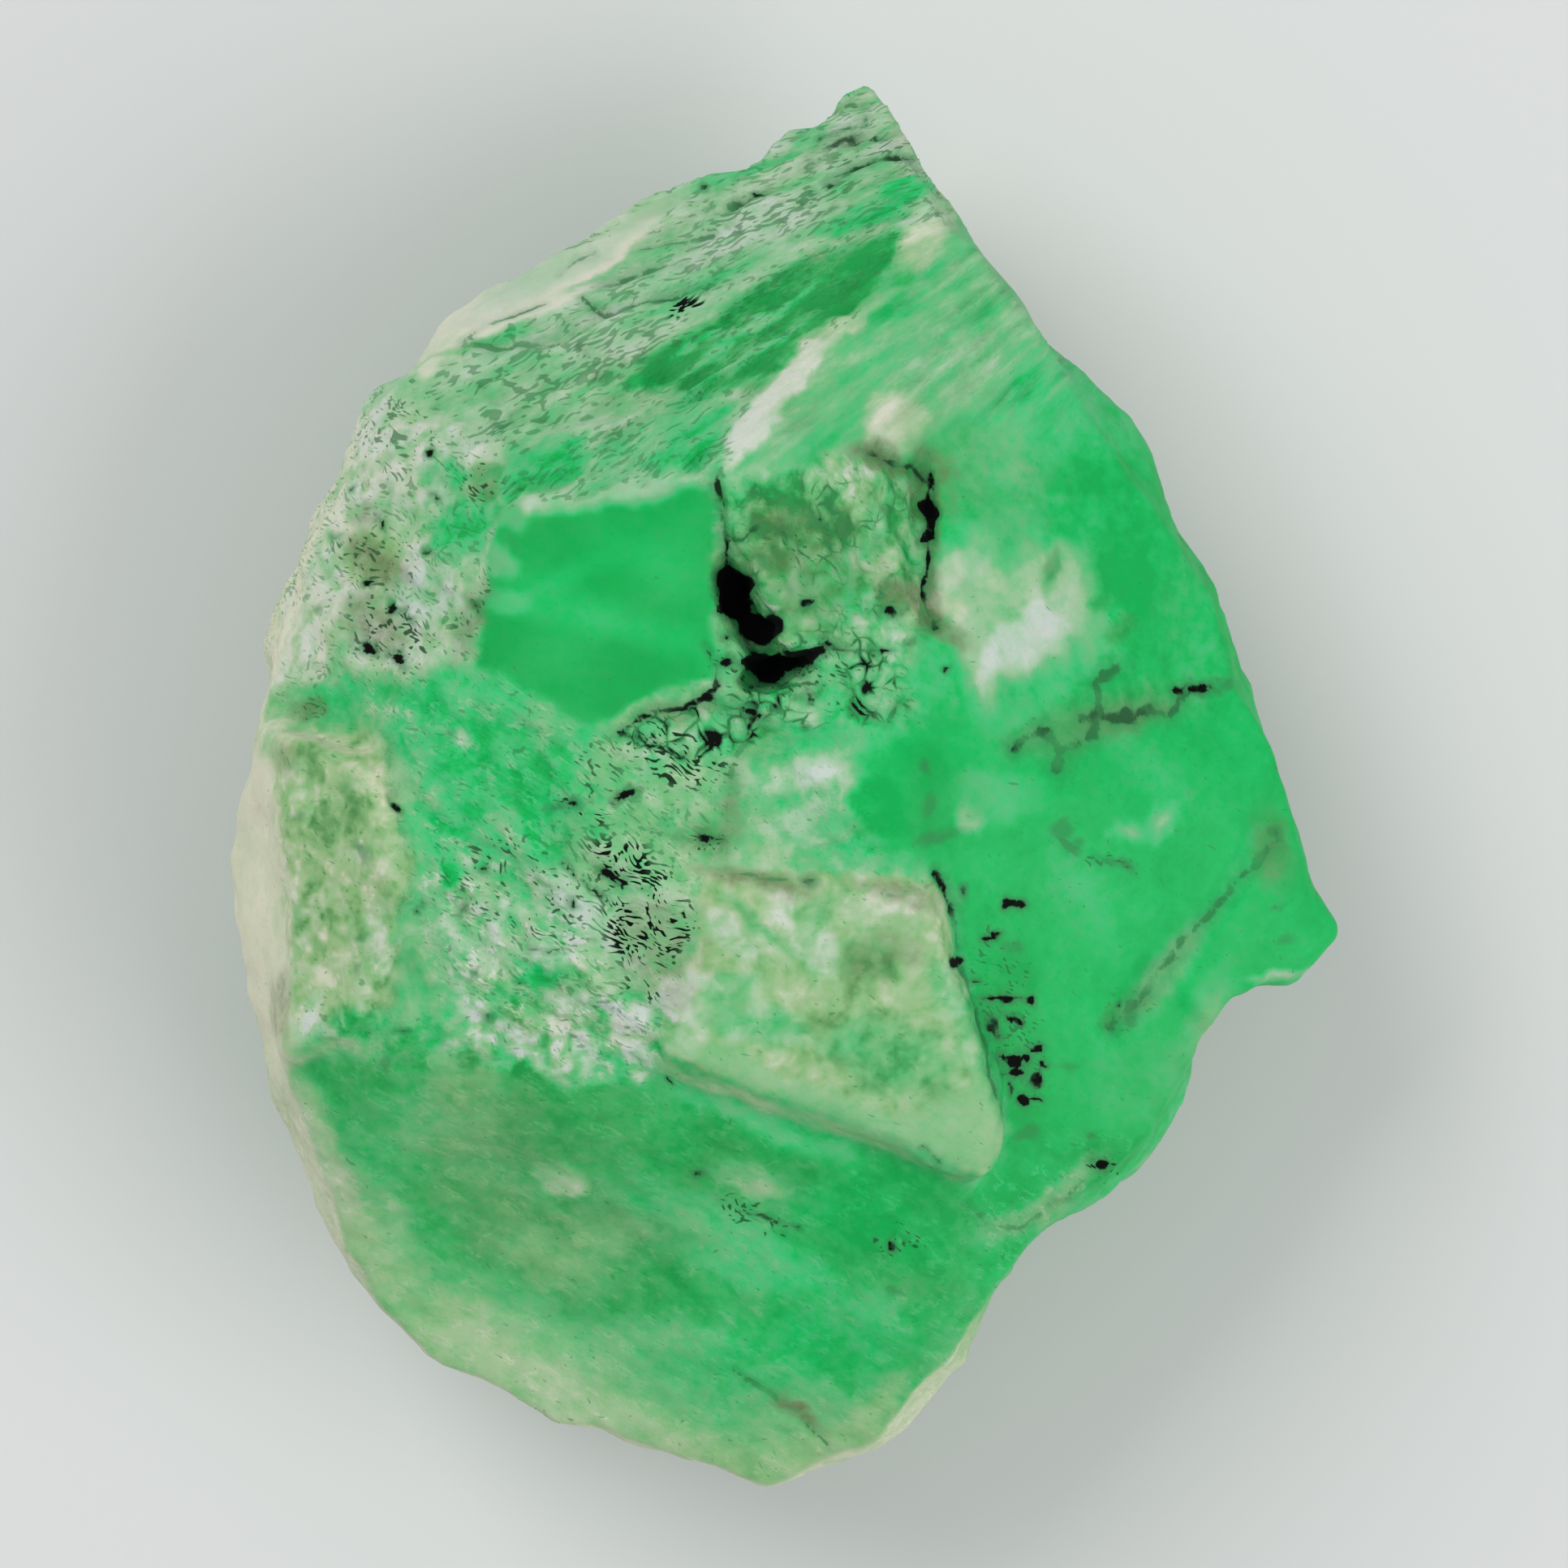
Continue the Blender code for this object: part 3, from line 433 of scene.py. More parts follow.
# smaller ovals over those, written the same way
flecks = {
    "leftSide": [
        (-10.6, 10.5, 0.38, 0.58, 0, 0.32, 0.5, 0.3), (-10.1, 10.9, 0.23, 0.29, 0, 0.26, 0.5, 0.15),
    ],
    "whiteBlocks": [
        (-7.1, -8.8, 0.38, 0.35, 0, 0.8, 0.1, 0.08), (-5.5, -8.6, 0.52, 0.35, -20, 0.84, 0.12, 0.08),
        (-4.6, -8.8, 0.32, 0.29, 0, 0.82, 0.2, 0.1), (-10.9, -8.5, 0.49, 0.26, 80, 0.8, 0.15, 0.1),
        (-10.3, -9, 0.41, 0.23, 80, 0.78, 0.1, 0.1), (-10, -8.4, 0.2, 0.2, 0, 0.8, 0.1, 0.08),
        (-6, -7.8, 0.43, 0.23, -20, 0.84, 0.15, 0.1), (-3.5, -7.1, 0.81, 0.64, -30, 0.78, 0.35, 0.2),
        (-5.2, -8.1, 0.52, 0.29, -15, 0.84, 0.2, 0.1),
    ],
    "flakes": [
        (-8.1, -6, 1.39, 0.26, 14, 0.68, 0.1, 0.15), (-8.8, -6.7, 1.39, 0.12, -10, 0.82, 0.1, 0.06),
        (-9.5, -1.9, 1.04, 0.17, -52, 0.6, 0.05, 0.12), (-7.7, -5.1, 0.87, 0.17, -30, 0.7, 0, 0.12),
    ],
    "pockets": [
        (-1.5, 6.6, 0.15, 0.15, 0, 0.8, 0.5, 0.08), (-1.2, 6.2, 0.17, 0.15, 0, 0.74, 0.4, 0.08),
        (-0.6, 6, 0.17, 0.15, 0, 0.78, 0.4, 0.08), (-1, 4.8, 0.15, 0.12, 0, 0.8, 0.3, 0.08),
        (-0.7, 4.7, 0.15, 0.12, 0, 0.8, 0.3, 0.08), (-0.2, 4.9, 0.29, 0.23, 0, 0.66, 0.35, 0.1),
        (0.3, 4.8, 0.26, 0.17, 0, 0.62, 0.3, 0.1), (0.6, 3.5, 0.41, 0.38, 30, 0.6, 0.1, 0.12),
        (1.4, 3, 0.46, 0.41, 0, 0.42, 0.05, 0.15), (-0.6, 2.4, 0.43, 0.32, 0, 0.52, 0.1, 0.12),
    ],
    "rightFace": [
        (11.8, 5.5, 0.52, 0.35, 45, 0.14, 0.5, 0.25), (11, 6.4, 0.35, 0.29, 0, 0.2, 0.3, 0.2),
        (11.7, 2.8, 0.58, 0.29, 0, 0.4, 0.7, 0.3), (13.5, 2.7, 0.46, 0.23, 0, 0.16, 0.7, 0.2),
        (12.6, 1, 1.74, 0.64, -40, 0.26, 0.1, 0.8), (10.8, -4.5, 2.32, 0.52, -60, 0.22, 0.05, 0.9),
        (8.5, 3.1, 1.45, 0.87, 20, 0.3, 0.05, 0.6), (7.9, 12.9, 2.03, 0.7, -40, 0.4, 0.1, 0.7),
        (7.4, -0.4, 1.45, 0.75, 0, 0.3, 0.1, 0.5),
    ],
    "cloudFoot": [
        (5.8, 7.4, 0.58, 0.58, 0, 0.8, 0.35, 0.2), (5.4, 6.4, 0.43, 0.38, 0, 0.84, 0.6, 0.15),
        (7.2, 7.2, 0.52, 0.43, 0, 0.7, 0.35, 0.25), (6.2, 6.2, 0.35, 0.26, -60, 0.78, 0.6, 0.15),
    ],
    "deepStrip": [
        (-3.5, 15.3, 0.38, 0.23, 35, 0.5, 0, 0.12), (-2.7, 14.9, 0.35, 0.17, 30, 0.42, 0, 0.12),
        (-4.2, 14.1, 0.32, 0.23, 50, 0.46, 0, 0.12), (-2.7, 15.7, 0.32, 0.17, 20, 0.4, 0, 0.12),
        (-1.8, 14.5, 0.7, 0.2, 30, 0.42, 0, 0.15), (-0.2, 15.5, 0.99, 0.17, 32, 0.3, 0, 0.15),
        (-3.4, 13.5, 0.75, 0.2, 20, 0.42, 0, 0.15), (-4.8, 14.2, 0.58, 0.23, 20, 0.1, 0, 0.2),
    ],
    "rhombus": [
        (-5.7, 5.5, 2.61, 0.41, -18, 0.2, 0, 0.6), (-7.7, 7.1, 1.74, 0.35, 25, 0.17, 0, 0.5),
        (-4.8, 8, 1.45, 0.58, -40, 0.16, 0.1, 0.7),
    ],
    "crown": [
        (-0.8, 9.5, 1.33, 0.7, 10, 0.28, 0.05, 0.5), (2.7, 8.9, 0.87, 0.99, 0, 0.42, 0.1, 0.4),
        (9.7, 13.5, 2.03, 0.87, -40, 0.32, 0, 1), (6.5, 14.1, 1.45, 0.75, 20, 0.5, 0.2, 0.7),
        (7.7, 9.5, 0.87, 1.33, 0, 0.22, 0.2, 0.6), (0.7, 9.2, 2.09, 0.99, -10, 0.05, 0.75, 0.5),
        (0.3, 7.7, 0.75, 0.99, 60, 0.2, 0.5, 0.4), (2.1, 6, 2.03, 0.99, -30, 0.42, 0.1, 0.5),
        (1.6, 1.9, 1.74, 0.7, 10, 0.36, 0, 0.6), (-1, 5.1, 0.81, 0.15, -8, 0.45, 0.2, 0.1),
        (1, 3.8, 0.75, 0.35, 30, 0.42, 0.1, 0.15), (-0.2, -2.4, 1.33, 0.46, -10, 0.6, 0.25, 0.3),
    ],
    "triangleSlab": [
        (0.6, -4.5, 0.99, 0.64, -30, 0.8, 0.4, 0.3), (1.3, -5.8, 0.87, 0.75, 0, 0.76, 0.35, 0.3),
        (-2.9, -7.2, 0.75, 0.58, 60, 0.74, 0.3, 0.25), (-1.9, -5.3, 1.16, 0.41, -35, 0.72, 0.3, 0.2),
        (-1.8, -7.2, 0.87, 0.58, 0, 0.42, 0.3, 0.3), (2, -9, 0.7, 0.41, 20, 0.34, 0.3, 0.3),
        (2.7, -6.6, 0.99, 0.52, 70, 0.42, 0.8, 0.25), (1.6, -4.2, 0.87, 0.41, 30, 0.48, 0.6, 0.2),
        (-1, -4.9, 1.45, 0.26, -40, 0.42, 0.4, 0.2),
    ],
    "leftSlab": [
        (-16.1, -1.3, 1.16, 0.7, 60, 0.46, 0.9, 0.3), (-16.4, -4.2, 0.99, 0.75, 20, 0.46, 0.85, 0.3),
        (-14.2, -2, 1.62, 0.7, 85, 0.78, 0.75, 0.25), (-17.4, -3.5, 0.52, 0.58, 0, 0.82, 0.65, 0.2),
        (-14.2, -5.6, 1.62, 0.64, 85, 0.74, 0.6, 0.3), (-16.4, 1, 1.45, 0.41, 10, 0.44, 0.9, 0.3),
        (-14.8, -2.7, 0.87, 0.41, 70, 0.72, 0.7, 0.2), (-17.9, -5.3, 2.32, 0.23, 88, 0.8, 0.7, 0.3),
        (-17.7, -8.6, 1.16, 0.35, 88, 0.66, 0.9, 0.3),
    ],
    "flakySlope": [
        (-10.3, -4.5, 0.75, 0.26, -40, 0.7, 0.05, 0.15), (-10.9, -2.7, 0.87, 0.17, -45, 0.6, 0, 0.15),
        (-9.5, -1.3, 0.99, 0.17, -50, 0.5, 0, 0.15), (-8, -3.6, 0.99, 0.58, -30, 0.84, 0.05, 0.35),
        (-10.2, -6.2, 0.99, 0.52, -20, 0.74, 0.05, 0.2), (-11.6, -2.9, 0.46, 0.58, 0, 0.12, 0.1, 0.25),
        (-8, -6.8, 1.74, 0.46, 10, 0.3, 0.2, 0.35), (-10.9, -8, 0.46, 0.26, 70, 0.8, 0.1, 0.12),
        (-9.2, -9.3, 0.58, 0.26, -35, 0.84, 0.05, 0.12), (-5.2, -10.2, 0.35, 0.2, -30, 0.82, 0.1, 0.12),
        (-11.7, -9.2, 0.41, 0.2, 0, 0.62, 0.1, 0.15), (-16.6, -8.1, 0.87, 0.29, 70, 0.7, 0.35, 0.2),
        (-7.7, -9.7, 0.23, 0.23, 0, 0.9, 0, 0.1),
    ],
    "ridge": [
        (-1, 12.5, 1.8, 0.55, 52, 0.97, 0.3, 0.15), (0.6, 14.5, 1.45, 0.52, 48, 0.95, 0.3, 0.15),
        (2.1, 16.2, 1.16, 0.41, 28, 0.86, 0.45, 0.2), (3.9, 17.4, 1.45, 0.35, 42, 0.62, 0.3, 0.3),
    ],
    "streakedCorner": [
        (4.8, 19, 1.28, 0.7, 50, 0.74, 0.6, 0.35), (-0.2, 21.7, 3.19, 0.38, 27, 0.8, 0.3, 0.25),
        (4.5, 21.1, 0.99, 0.38, 20, 0.2, 0, 0.25), (2.9, 20, 1.33, 0.26, 22, 0.26, 0, 0.2),
        (4.1, 17.7, 0.58, 0.26, 25, 0.34, 0.3, 0.2), (-1.5, 15.7, 3.19, 0.17, 33, 0.36, 0, 0.12),
        (3.6, 16.4, 2.03, 0.26, 36, 0.3, 0.1, 0.25), (5.3, 15.5, 2.61, 0.23, 32, 0.32, 0.05, 0.25),
        (2.7, 14.4, 2.32, 0.29, 28, 0.3, 0.15, 0.3), (7.1, 17, 1.74, 0.23, 33, 0.34, 0.1, 0.25),
        (3.8, 12.9, 0.99, 0.75, 0, 0.86, 0.6, 0.3), (6.2, 20.9, 3.48, 0.41, -52, 0.62, 0.75, 0.35),
    ],
    "fibrousFace": [
        (-6.6, 14.1, 1.74, 0.23, 30, 0.42, 0.1, 0.2), (-8.9, 15.8, 2.61, 0.15, 12, 0.46, 0.2, 0.15),
        (-5.7, 18.4, 1.74, 0.15, 22, 0.5, 0.1, 0.15), (-7.7, 11.5, 0.87, 0.52, 10, 0.16, 0, 0.3),
        (2.1, 23.4, 1.74, 0.52, 25, 0.8, 0.15, 0.3), (-1.9, 21.8, 1.74, 0.35, 22, 0.34, 0, 0.3),
        (1, 23.1, 0.87, 0.35, 20, 0.4, 0, 0.2), (1.3, 11.8, 1.74, 0.52, 45, 0.3, 0.05, 0.5),
    ],
    "besideSlab": [
        (7.9, -8.2, 3.48, 1.22, -80, 0.02, 0.12, 0.6),
    ],
    "rhombusEdge": [
        (-9.5, 9.2, 0.41, 0.64, 80, 0.4, 0.1, 0.25), (-9.8, 7.7, 0.35, 0.52, 60, 0.42, 0.1, 0.25),
        (-9.6, 6.4, 0.35, 0.58, 90, 0.36, 0.1, 0.25), (-9, 10.3, 0.46, 0.29, 0, 0.5, 0.2, 0.2),
    ],
    "knobGroove": [
        (13.7, -6.4, 1.16, 0.26, 50, 0.44, 0.4, 0.2), (13.3, -7.2, 0.41, 0.29, 0, 0.5, 0.3, 0.15),
    ],
    "lowerFace": [
        (-7.8, -14.2, 0.38, 0.7, 80, 0.74, 0.5, 0.12), (-8.6, -13.5, 0.29, 0.23, 0, 0.6, 0.4, 0.12),
        (-0.3, -14.4, 0.75, 0.35, -10, 0.6, 0.45, 0.12), (-1, -11.7, 3.48, 0.41, -22, 0.34, 0.05, 0.3),
        (-2.5, -15.5, 3.48, 0.87, -25, 0.3, 0.15, 0.6), (3.3, -15.5, 3.19, 0.99, -20, 0.12, 0.1, 0.8),
        (-6.6, -12.3, 1.45, 1.16, -40, 0.22, 0.5, 0.9), (-0.2, -17.2, 2.61, 0.87, -15, 0.3, 0.1, 0.8),
        (-1, -14.3, 0.87, 0.23, -15, 0.55, 0.35, 0.15), (1, -20.1, 3.48, 1.45, 10, 0.18, 0.1, 1),
        (9.7, -14.6, 1.16, 0.29, 35, 0.4, 0.4, 0.3), (10.8, -13.7, 0.87, 0.35, 40, 0.36, 0.4, 0.3),
    ],
}

# where pits crowd: an oval, then how many and how black
pitted = {
    "fibrousFace": [
        (-3.7, 16.9, 1.04, 0.35, 0, 1.25, 1), (-7.7, 14.8, 5.51, 0.75, 14, 1.35, 0.1),
        (-9.5, 12.9, 2.32, 0.7, 20, 1.25, 0.1), (3, 22.2, 2.03, 0.58, 22, 1.1, 0.3),
        (-0.2, 20.4, 3.48, 0.64, 20, 1.3, 0.15),
    ],
    "leftSide": [
        (-13.5, 12.4, 1.74, 1.74, 0, 1, 0.3), (-14.5, 8, 1.74, 1.16, -20, 1.1, 0.5),
        (-13.8, 5.2, 1.74, 1.16, -25, 1.15, 0.7), (-10.9, 6, 1.91, 0.64, 67, 1.05, 0.4),
        (-10.6, 10.6, 0.75, 0.87, 0, 1.3, 0.7), (-16.8, 2.5, 0.75, 0.46, 0, 1.1, 0.3),
    ],
    "pittedGround": [
        (-4.8, -4.8, 1.91, 1.74, 60, 1.45, 1), (-3.7, 1, 2.03, 1.16, -20, 1.2, 0.9),
        (-6.8, -0.7, 1.16, 0.7, -20, 1.35, 1), (-5.7, -2.7, 1.33, 0.87, -30, 1.35, 1),
        (-2.9, -2, 0.75, 0.58, 0, 1.2, 1), (-4.7, -6.8, 1.04, 1.16, 0, 1.2, 0.8),
    ],
    "rightFace": [
        (7.9, -8.2, 3.48, 1.33, -80, 0.9, 0.3), (11.3, -13.5, 0.75, 0.46, 0, 1.2, 1),
        (12.2, -7.9, 1.16, 0.87, 30, 0.6, 0),
    ],
    "flakySlope": [
        (-9.2, -3.6, 2.61, 1.74, -30, 0.85, 0.6), (-6.6, 0.2, 1.16, 1.16, 0, 0.95, 0.5),
        (-0.2, 3.9, 3.19, 1.16, 0, 0.9, 0.6),
    ],
    "lowerFace": [
        (-1, -15.2, 1.74, 0.58, -20, 0.95, 0.6), (3.6, -16.1, 1.16, 0.87, 0, 0.85, 0.5),
    ],
    "smallClusters": [
        (0.6, 8, 1.74, 1.16, 0, 0.8, 0.3), (11.7, -2.9, 1.16, 0.41, -15, 0.8, 0.3),
        (-17.4, 5.1, 0.87, 1.16, 0, 0.3, 0),
    ],
    "bareGround": [
        (-10.9, 16.7, 1.74, 0.75, 30, 0, 0), (0.3, 13.7, 3.62, 0.64, 50, 0, 0),
        (3.6, -11.7, 3.48, 1.16, -20, 0, 0),
    ],
}

# single dark pits: an oval, then how dark
spots = {
    "besideSlab": [
        (8.1, -4.3, 0.43, 0.21, -10, 0.92), (7.4, -5.3, 0.47, 0.21, 10, 1),
        (8.2, -5.8, 0.43, 0.21, 0, 0.52), (7.6, -7.5, 0.6, 0.17, 0, 1),
        (8.6, -7.6, 0.37, 0.17, 0, 0.97), (8.1, -8.2, 0.47, 0.14, -25, 0.97),
        (7.4, -8.5, 0.23, 0.42, 20, 0.82), (7.5, -9, 0.33, 0.17, 0, 0.82),
        (8.8, -9.3, 0.33, 0.17, 20, 1), (9.2, -9.9, 0.27, 0.17, 0, 1), (9, -10.5, 0.23, 0.28, 0, 0.92),
        (8, -10.9, 0.17, 0.31, 0, 0.92), (8.6, -11.3, 0.23, 0.28, 0, 1), (9, -11.2, 0.23, 0.14, 0, 1),
        (8.5, -12.5, 0.4, 0.28, 20, 0.57),
    ],
    "slabEdge": [
        (1, -3.4, 0.29, 0.23, -30, 0.75), (6.3, -3.9, 0.15, 0.26, 0, 0.8),
        (6.1, -6.1, 0.23, 0.32, -30, 1), (6.7, -6.8, 0.23, 0.17, -10, 0.9),
    ],
    "lowerFace": [
        (-4, -10.4, 0.26, 0.15, -30, 0.9), (-3, -13.7, 0.26, 0.15, -20, 0.8),
        (3.6, -16.2, 0.23, 0.2, -40, 0.9),
    ],
    "rightFace": [
        (11.9, -3, 0.46, 0.17, -10, 0.8), (9.7, -1.7, 0.41, 0.29, 0, 0.6),
        (10.4, -2.1, 0.17, 0.17, 0, 0.6), (5.3, -1.8, 0.7, 0.17, 10, 0.6),
        (5, -0.6, 0.23, 0.46, 0, 0.5), (4.9, 0.6, 0.17, 0.17, 0, 0.6), (9.5, 7.7, 0.26, 0.41, -20, 0.4),
    ],
    "knob": [
        (17.5, -1.7, 0.26, 0.15, -20, 0.7), (17.6, -4.3, 0.2, 0.09, 0, 0.7),
        (18, -5.6, 0.35, 0.12, 20, 0.6),
    ],
    "leftSide": [
        (-15.3, 10.4, 0.23, 0.17, -20, 0.9), (-14.2, 9.2, 0.26, 0.15, -30, 1),
        (-16, 8.8, 0.23, 0.12, 15, 0.8), (-12.5, 11.5, 0.2, 0.15, 0, 1),
        (-12.2, 10, 0.26, 0.12, -20, 0.95), (-12.4, 8, 0.26, 0.12, -30, 0.9),
        (-14.6, 7.1, 0.2, 0.17, -30, 1), (-13.8, 6.3, 0.29, 0.12, -40, 1),
        (-13.2, 5.8, 0.35, 0.12, -40, 0.95), (-16.6, 6.3, 0.23, 0.17, 0, 0.6),
        (-10.6, 6.3, 0.17, 0.23, 0, 0.8),
    ],
    "flakySlope": [
        (-11.6, 1.8, 0.17, 0.09, 0, 0.5), (-13.6, -0.7, 0.46, 0.15, -50, 1),
        (-12.6, -4.4, 0.15, 0.2, 0, 1), (-11.1, -4.5, 0.26, 0.26, 0, 0.7),
        (-10.4, -3.1, 0.2, 0.12, -30, 0.9), (-11, -6.4, 0.17, 0.12, 0, 0.9),
        (-10.4, -8.1, 0.2, 0.12, -20, 0.9), (-13.3, -8.7, 0.29, 0.12, -10, 0.8),
        (-7.4, -4.1, 0.17, 0.17, 0, 0.9), (-9.2, -7, 0.2, 0.12, 0, 0.9),
        (-14, -9.8, 0.23, 0.23, 0, 0.5),
    ],
    "leftSlab": [
        (-17.1, -1, 0.23, 0.2, 0, 0.55), (-15.3, -0.1, 0.2, 0.23, 0, 0.55),
        (-14.8, -2.3, 0.41, 0.15, -30, 0.7), (-14.7, -5.3, 0.29, 0.12, 10, 0.7),
        (-14.9, -6.4, 0.12, 0.26, 0, 0.6),
    ],
    "fibrousFace": [
        (1.5, 20.3, 0.29, 0.12, 15, 0.8), (-0.9, 21, 0.29, 0.12, 10, 0.9),
        (-2.5, 20.5, 0.23, 0.12, 20, 0.7), (-2.8, 21.2, 0.17, 0.17, 0, 0.8),
    ],
    "mottledGround": [
        (1.3, 9, 0.17, 0.23, 60, 1), (0.8, 6.3, 0.17, 0.23, 0, 0.9), (-0.9, 7.7, 0.17, 0.23, 0, 0.7),
        (3.7, 9.6, 0.23, 0.23, 0, 0.6), (3.8, 5.9, 0.23, 0.2, 0, 1), (3.6, 4.7, 0.29, 0.12, 0, 1),
        (5.5, 4, 0.17, 0.2, 0, 0.9), (2.4, 2.6, 0.15, 0.15, 0, 0.9), (0.7, 3.1, 0.17, 0.17, 0, 0.9),
        (0.7, 2, 0.15, 0.2, 0, 0.8), (-2, 5.1, 0.15, 0.15, 0, 1), (4.5, 5, 0.17, 0.12, 0, 0.9),
    ],
    "knobGroove": [
        (12.4, -8.2, 0.23, 0.23, 0, 0.6), (12, -7.8, 0.17, 0.17, 0, 0.9),
    ],
    "lowerRight": [
        (10.2, -9.9, 0.35, 0.12, 0, 0.6), (4, -18, 0.35, 0.2, -20, 0.6),
        (10.8, -12.6, 0.17, 0.12, -20, 0.8), (9.7, -14.8, 0.41, 0.2, 20, 0.5),
    ],
}

# stains: an oval, then how strong
stains = {
    "crack": [
        (3.5, 11.4, 1.33, 0.58, -22, 0.95), (5.3, 11.2, 1.04, 0.7, -10, 0.7),
        (5.8, 10, 0.46, 0.87, 0, 0.35), (4.8, 10.3, 0.7, 0.99, 0, 0.7), (4.1, 6.6, 0.75, 0.64, 0, 0.85),
        (5.5, 5.6, 1.33, 0.41, -35, 0.8), (5, 7.7, 1.74, 0.41, 90, 0.7),
    ],
    "leftSide": [
        (-14.4, 8, 1.28, 0.7, -30, 0.9), (-14.6, 9.5, 0.99, 0.46, -10, 0.5),
        (-10.6, 10.6, 0.52, 0.64, 0, 0.4), (-14.4, 5.5, 1.33, 0.81, -30, 0.7),
        (-10.9, 5.7, 1.62, 0.52, 67, 0.5), (-16.8, 2.5, 0.64, 0.41, 0, 0.8),
    ],
    "pittedGround": [
        (-4.5, -5.8, 1.45, 1.74, 60, 0.5), (-3.8, -7.2, 0.75, 0.75, 0, 0.4),
        (-2.8, -1.9, 0.99, 0.64, -30, 0.6), (-1.9, -1, 1.74, 0.41, 80, 0.5),
        (-3.4, 2.5, 1.45, 0.41, 10, 0.45),
    ],
    "triangleSlab": [
        (-1, -3.4, 2.03, 0.35, -10, 0.75), (3.9, -3.8, 1.74, 0.41, -8, 0.6),
        (3, -6.2, 0.87, 0.99, 20, 0.35), (4.2, -5.8, 1.04, 0.46, -30, 0.4),
    ],
    "elsewhere": [
        (0.7, -22.5, 1.22, 0.35, -32, 0.85), (11.6, 2.3, 1.74, 0.52, 15, 0.5),
        (17.4, -2.3, 1.16, 0.64, 70, 0.45), (-17.7, -7.9, 1.45, 0.35, 88, 0.5),
        (0.6, 9, 1.74, 0.81, -8, 0.35), (1, 7.3, 2.61, 1.74, -10, 0.4), (-17.6, 1, 0.58, 0.7, 0, 0.4),
        (12.3, -7.9, 1.16, 0.46, 30, 0.35),
    ],
}
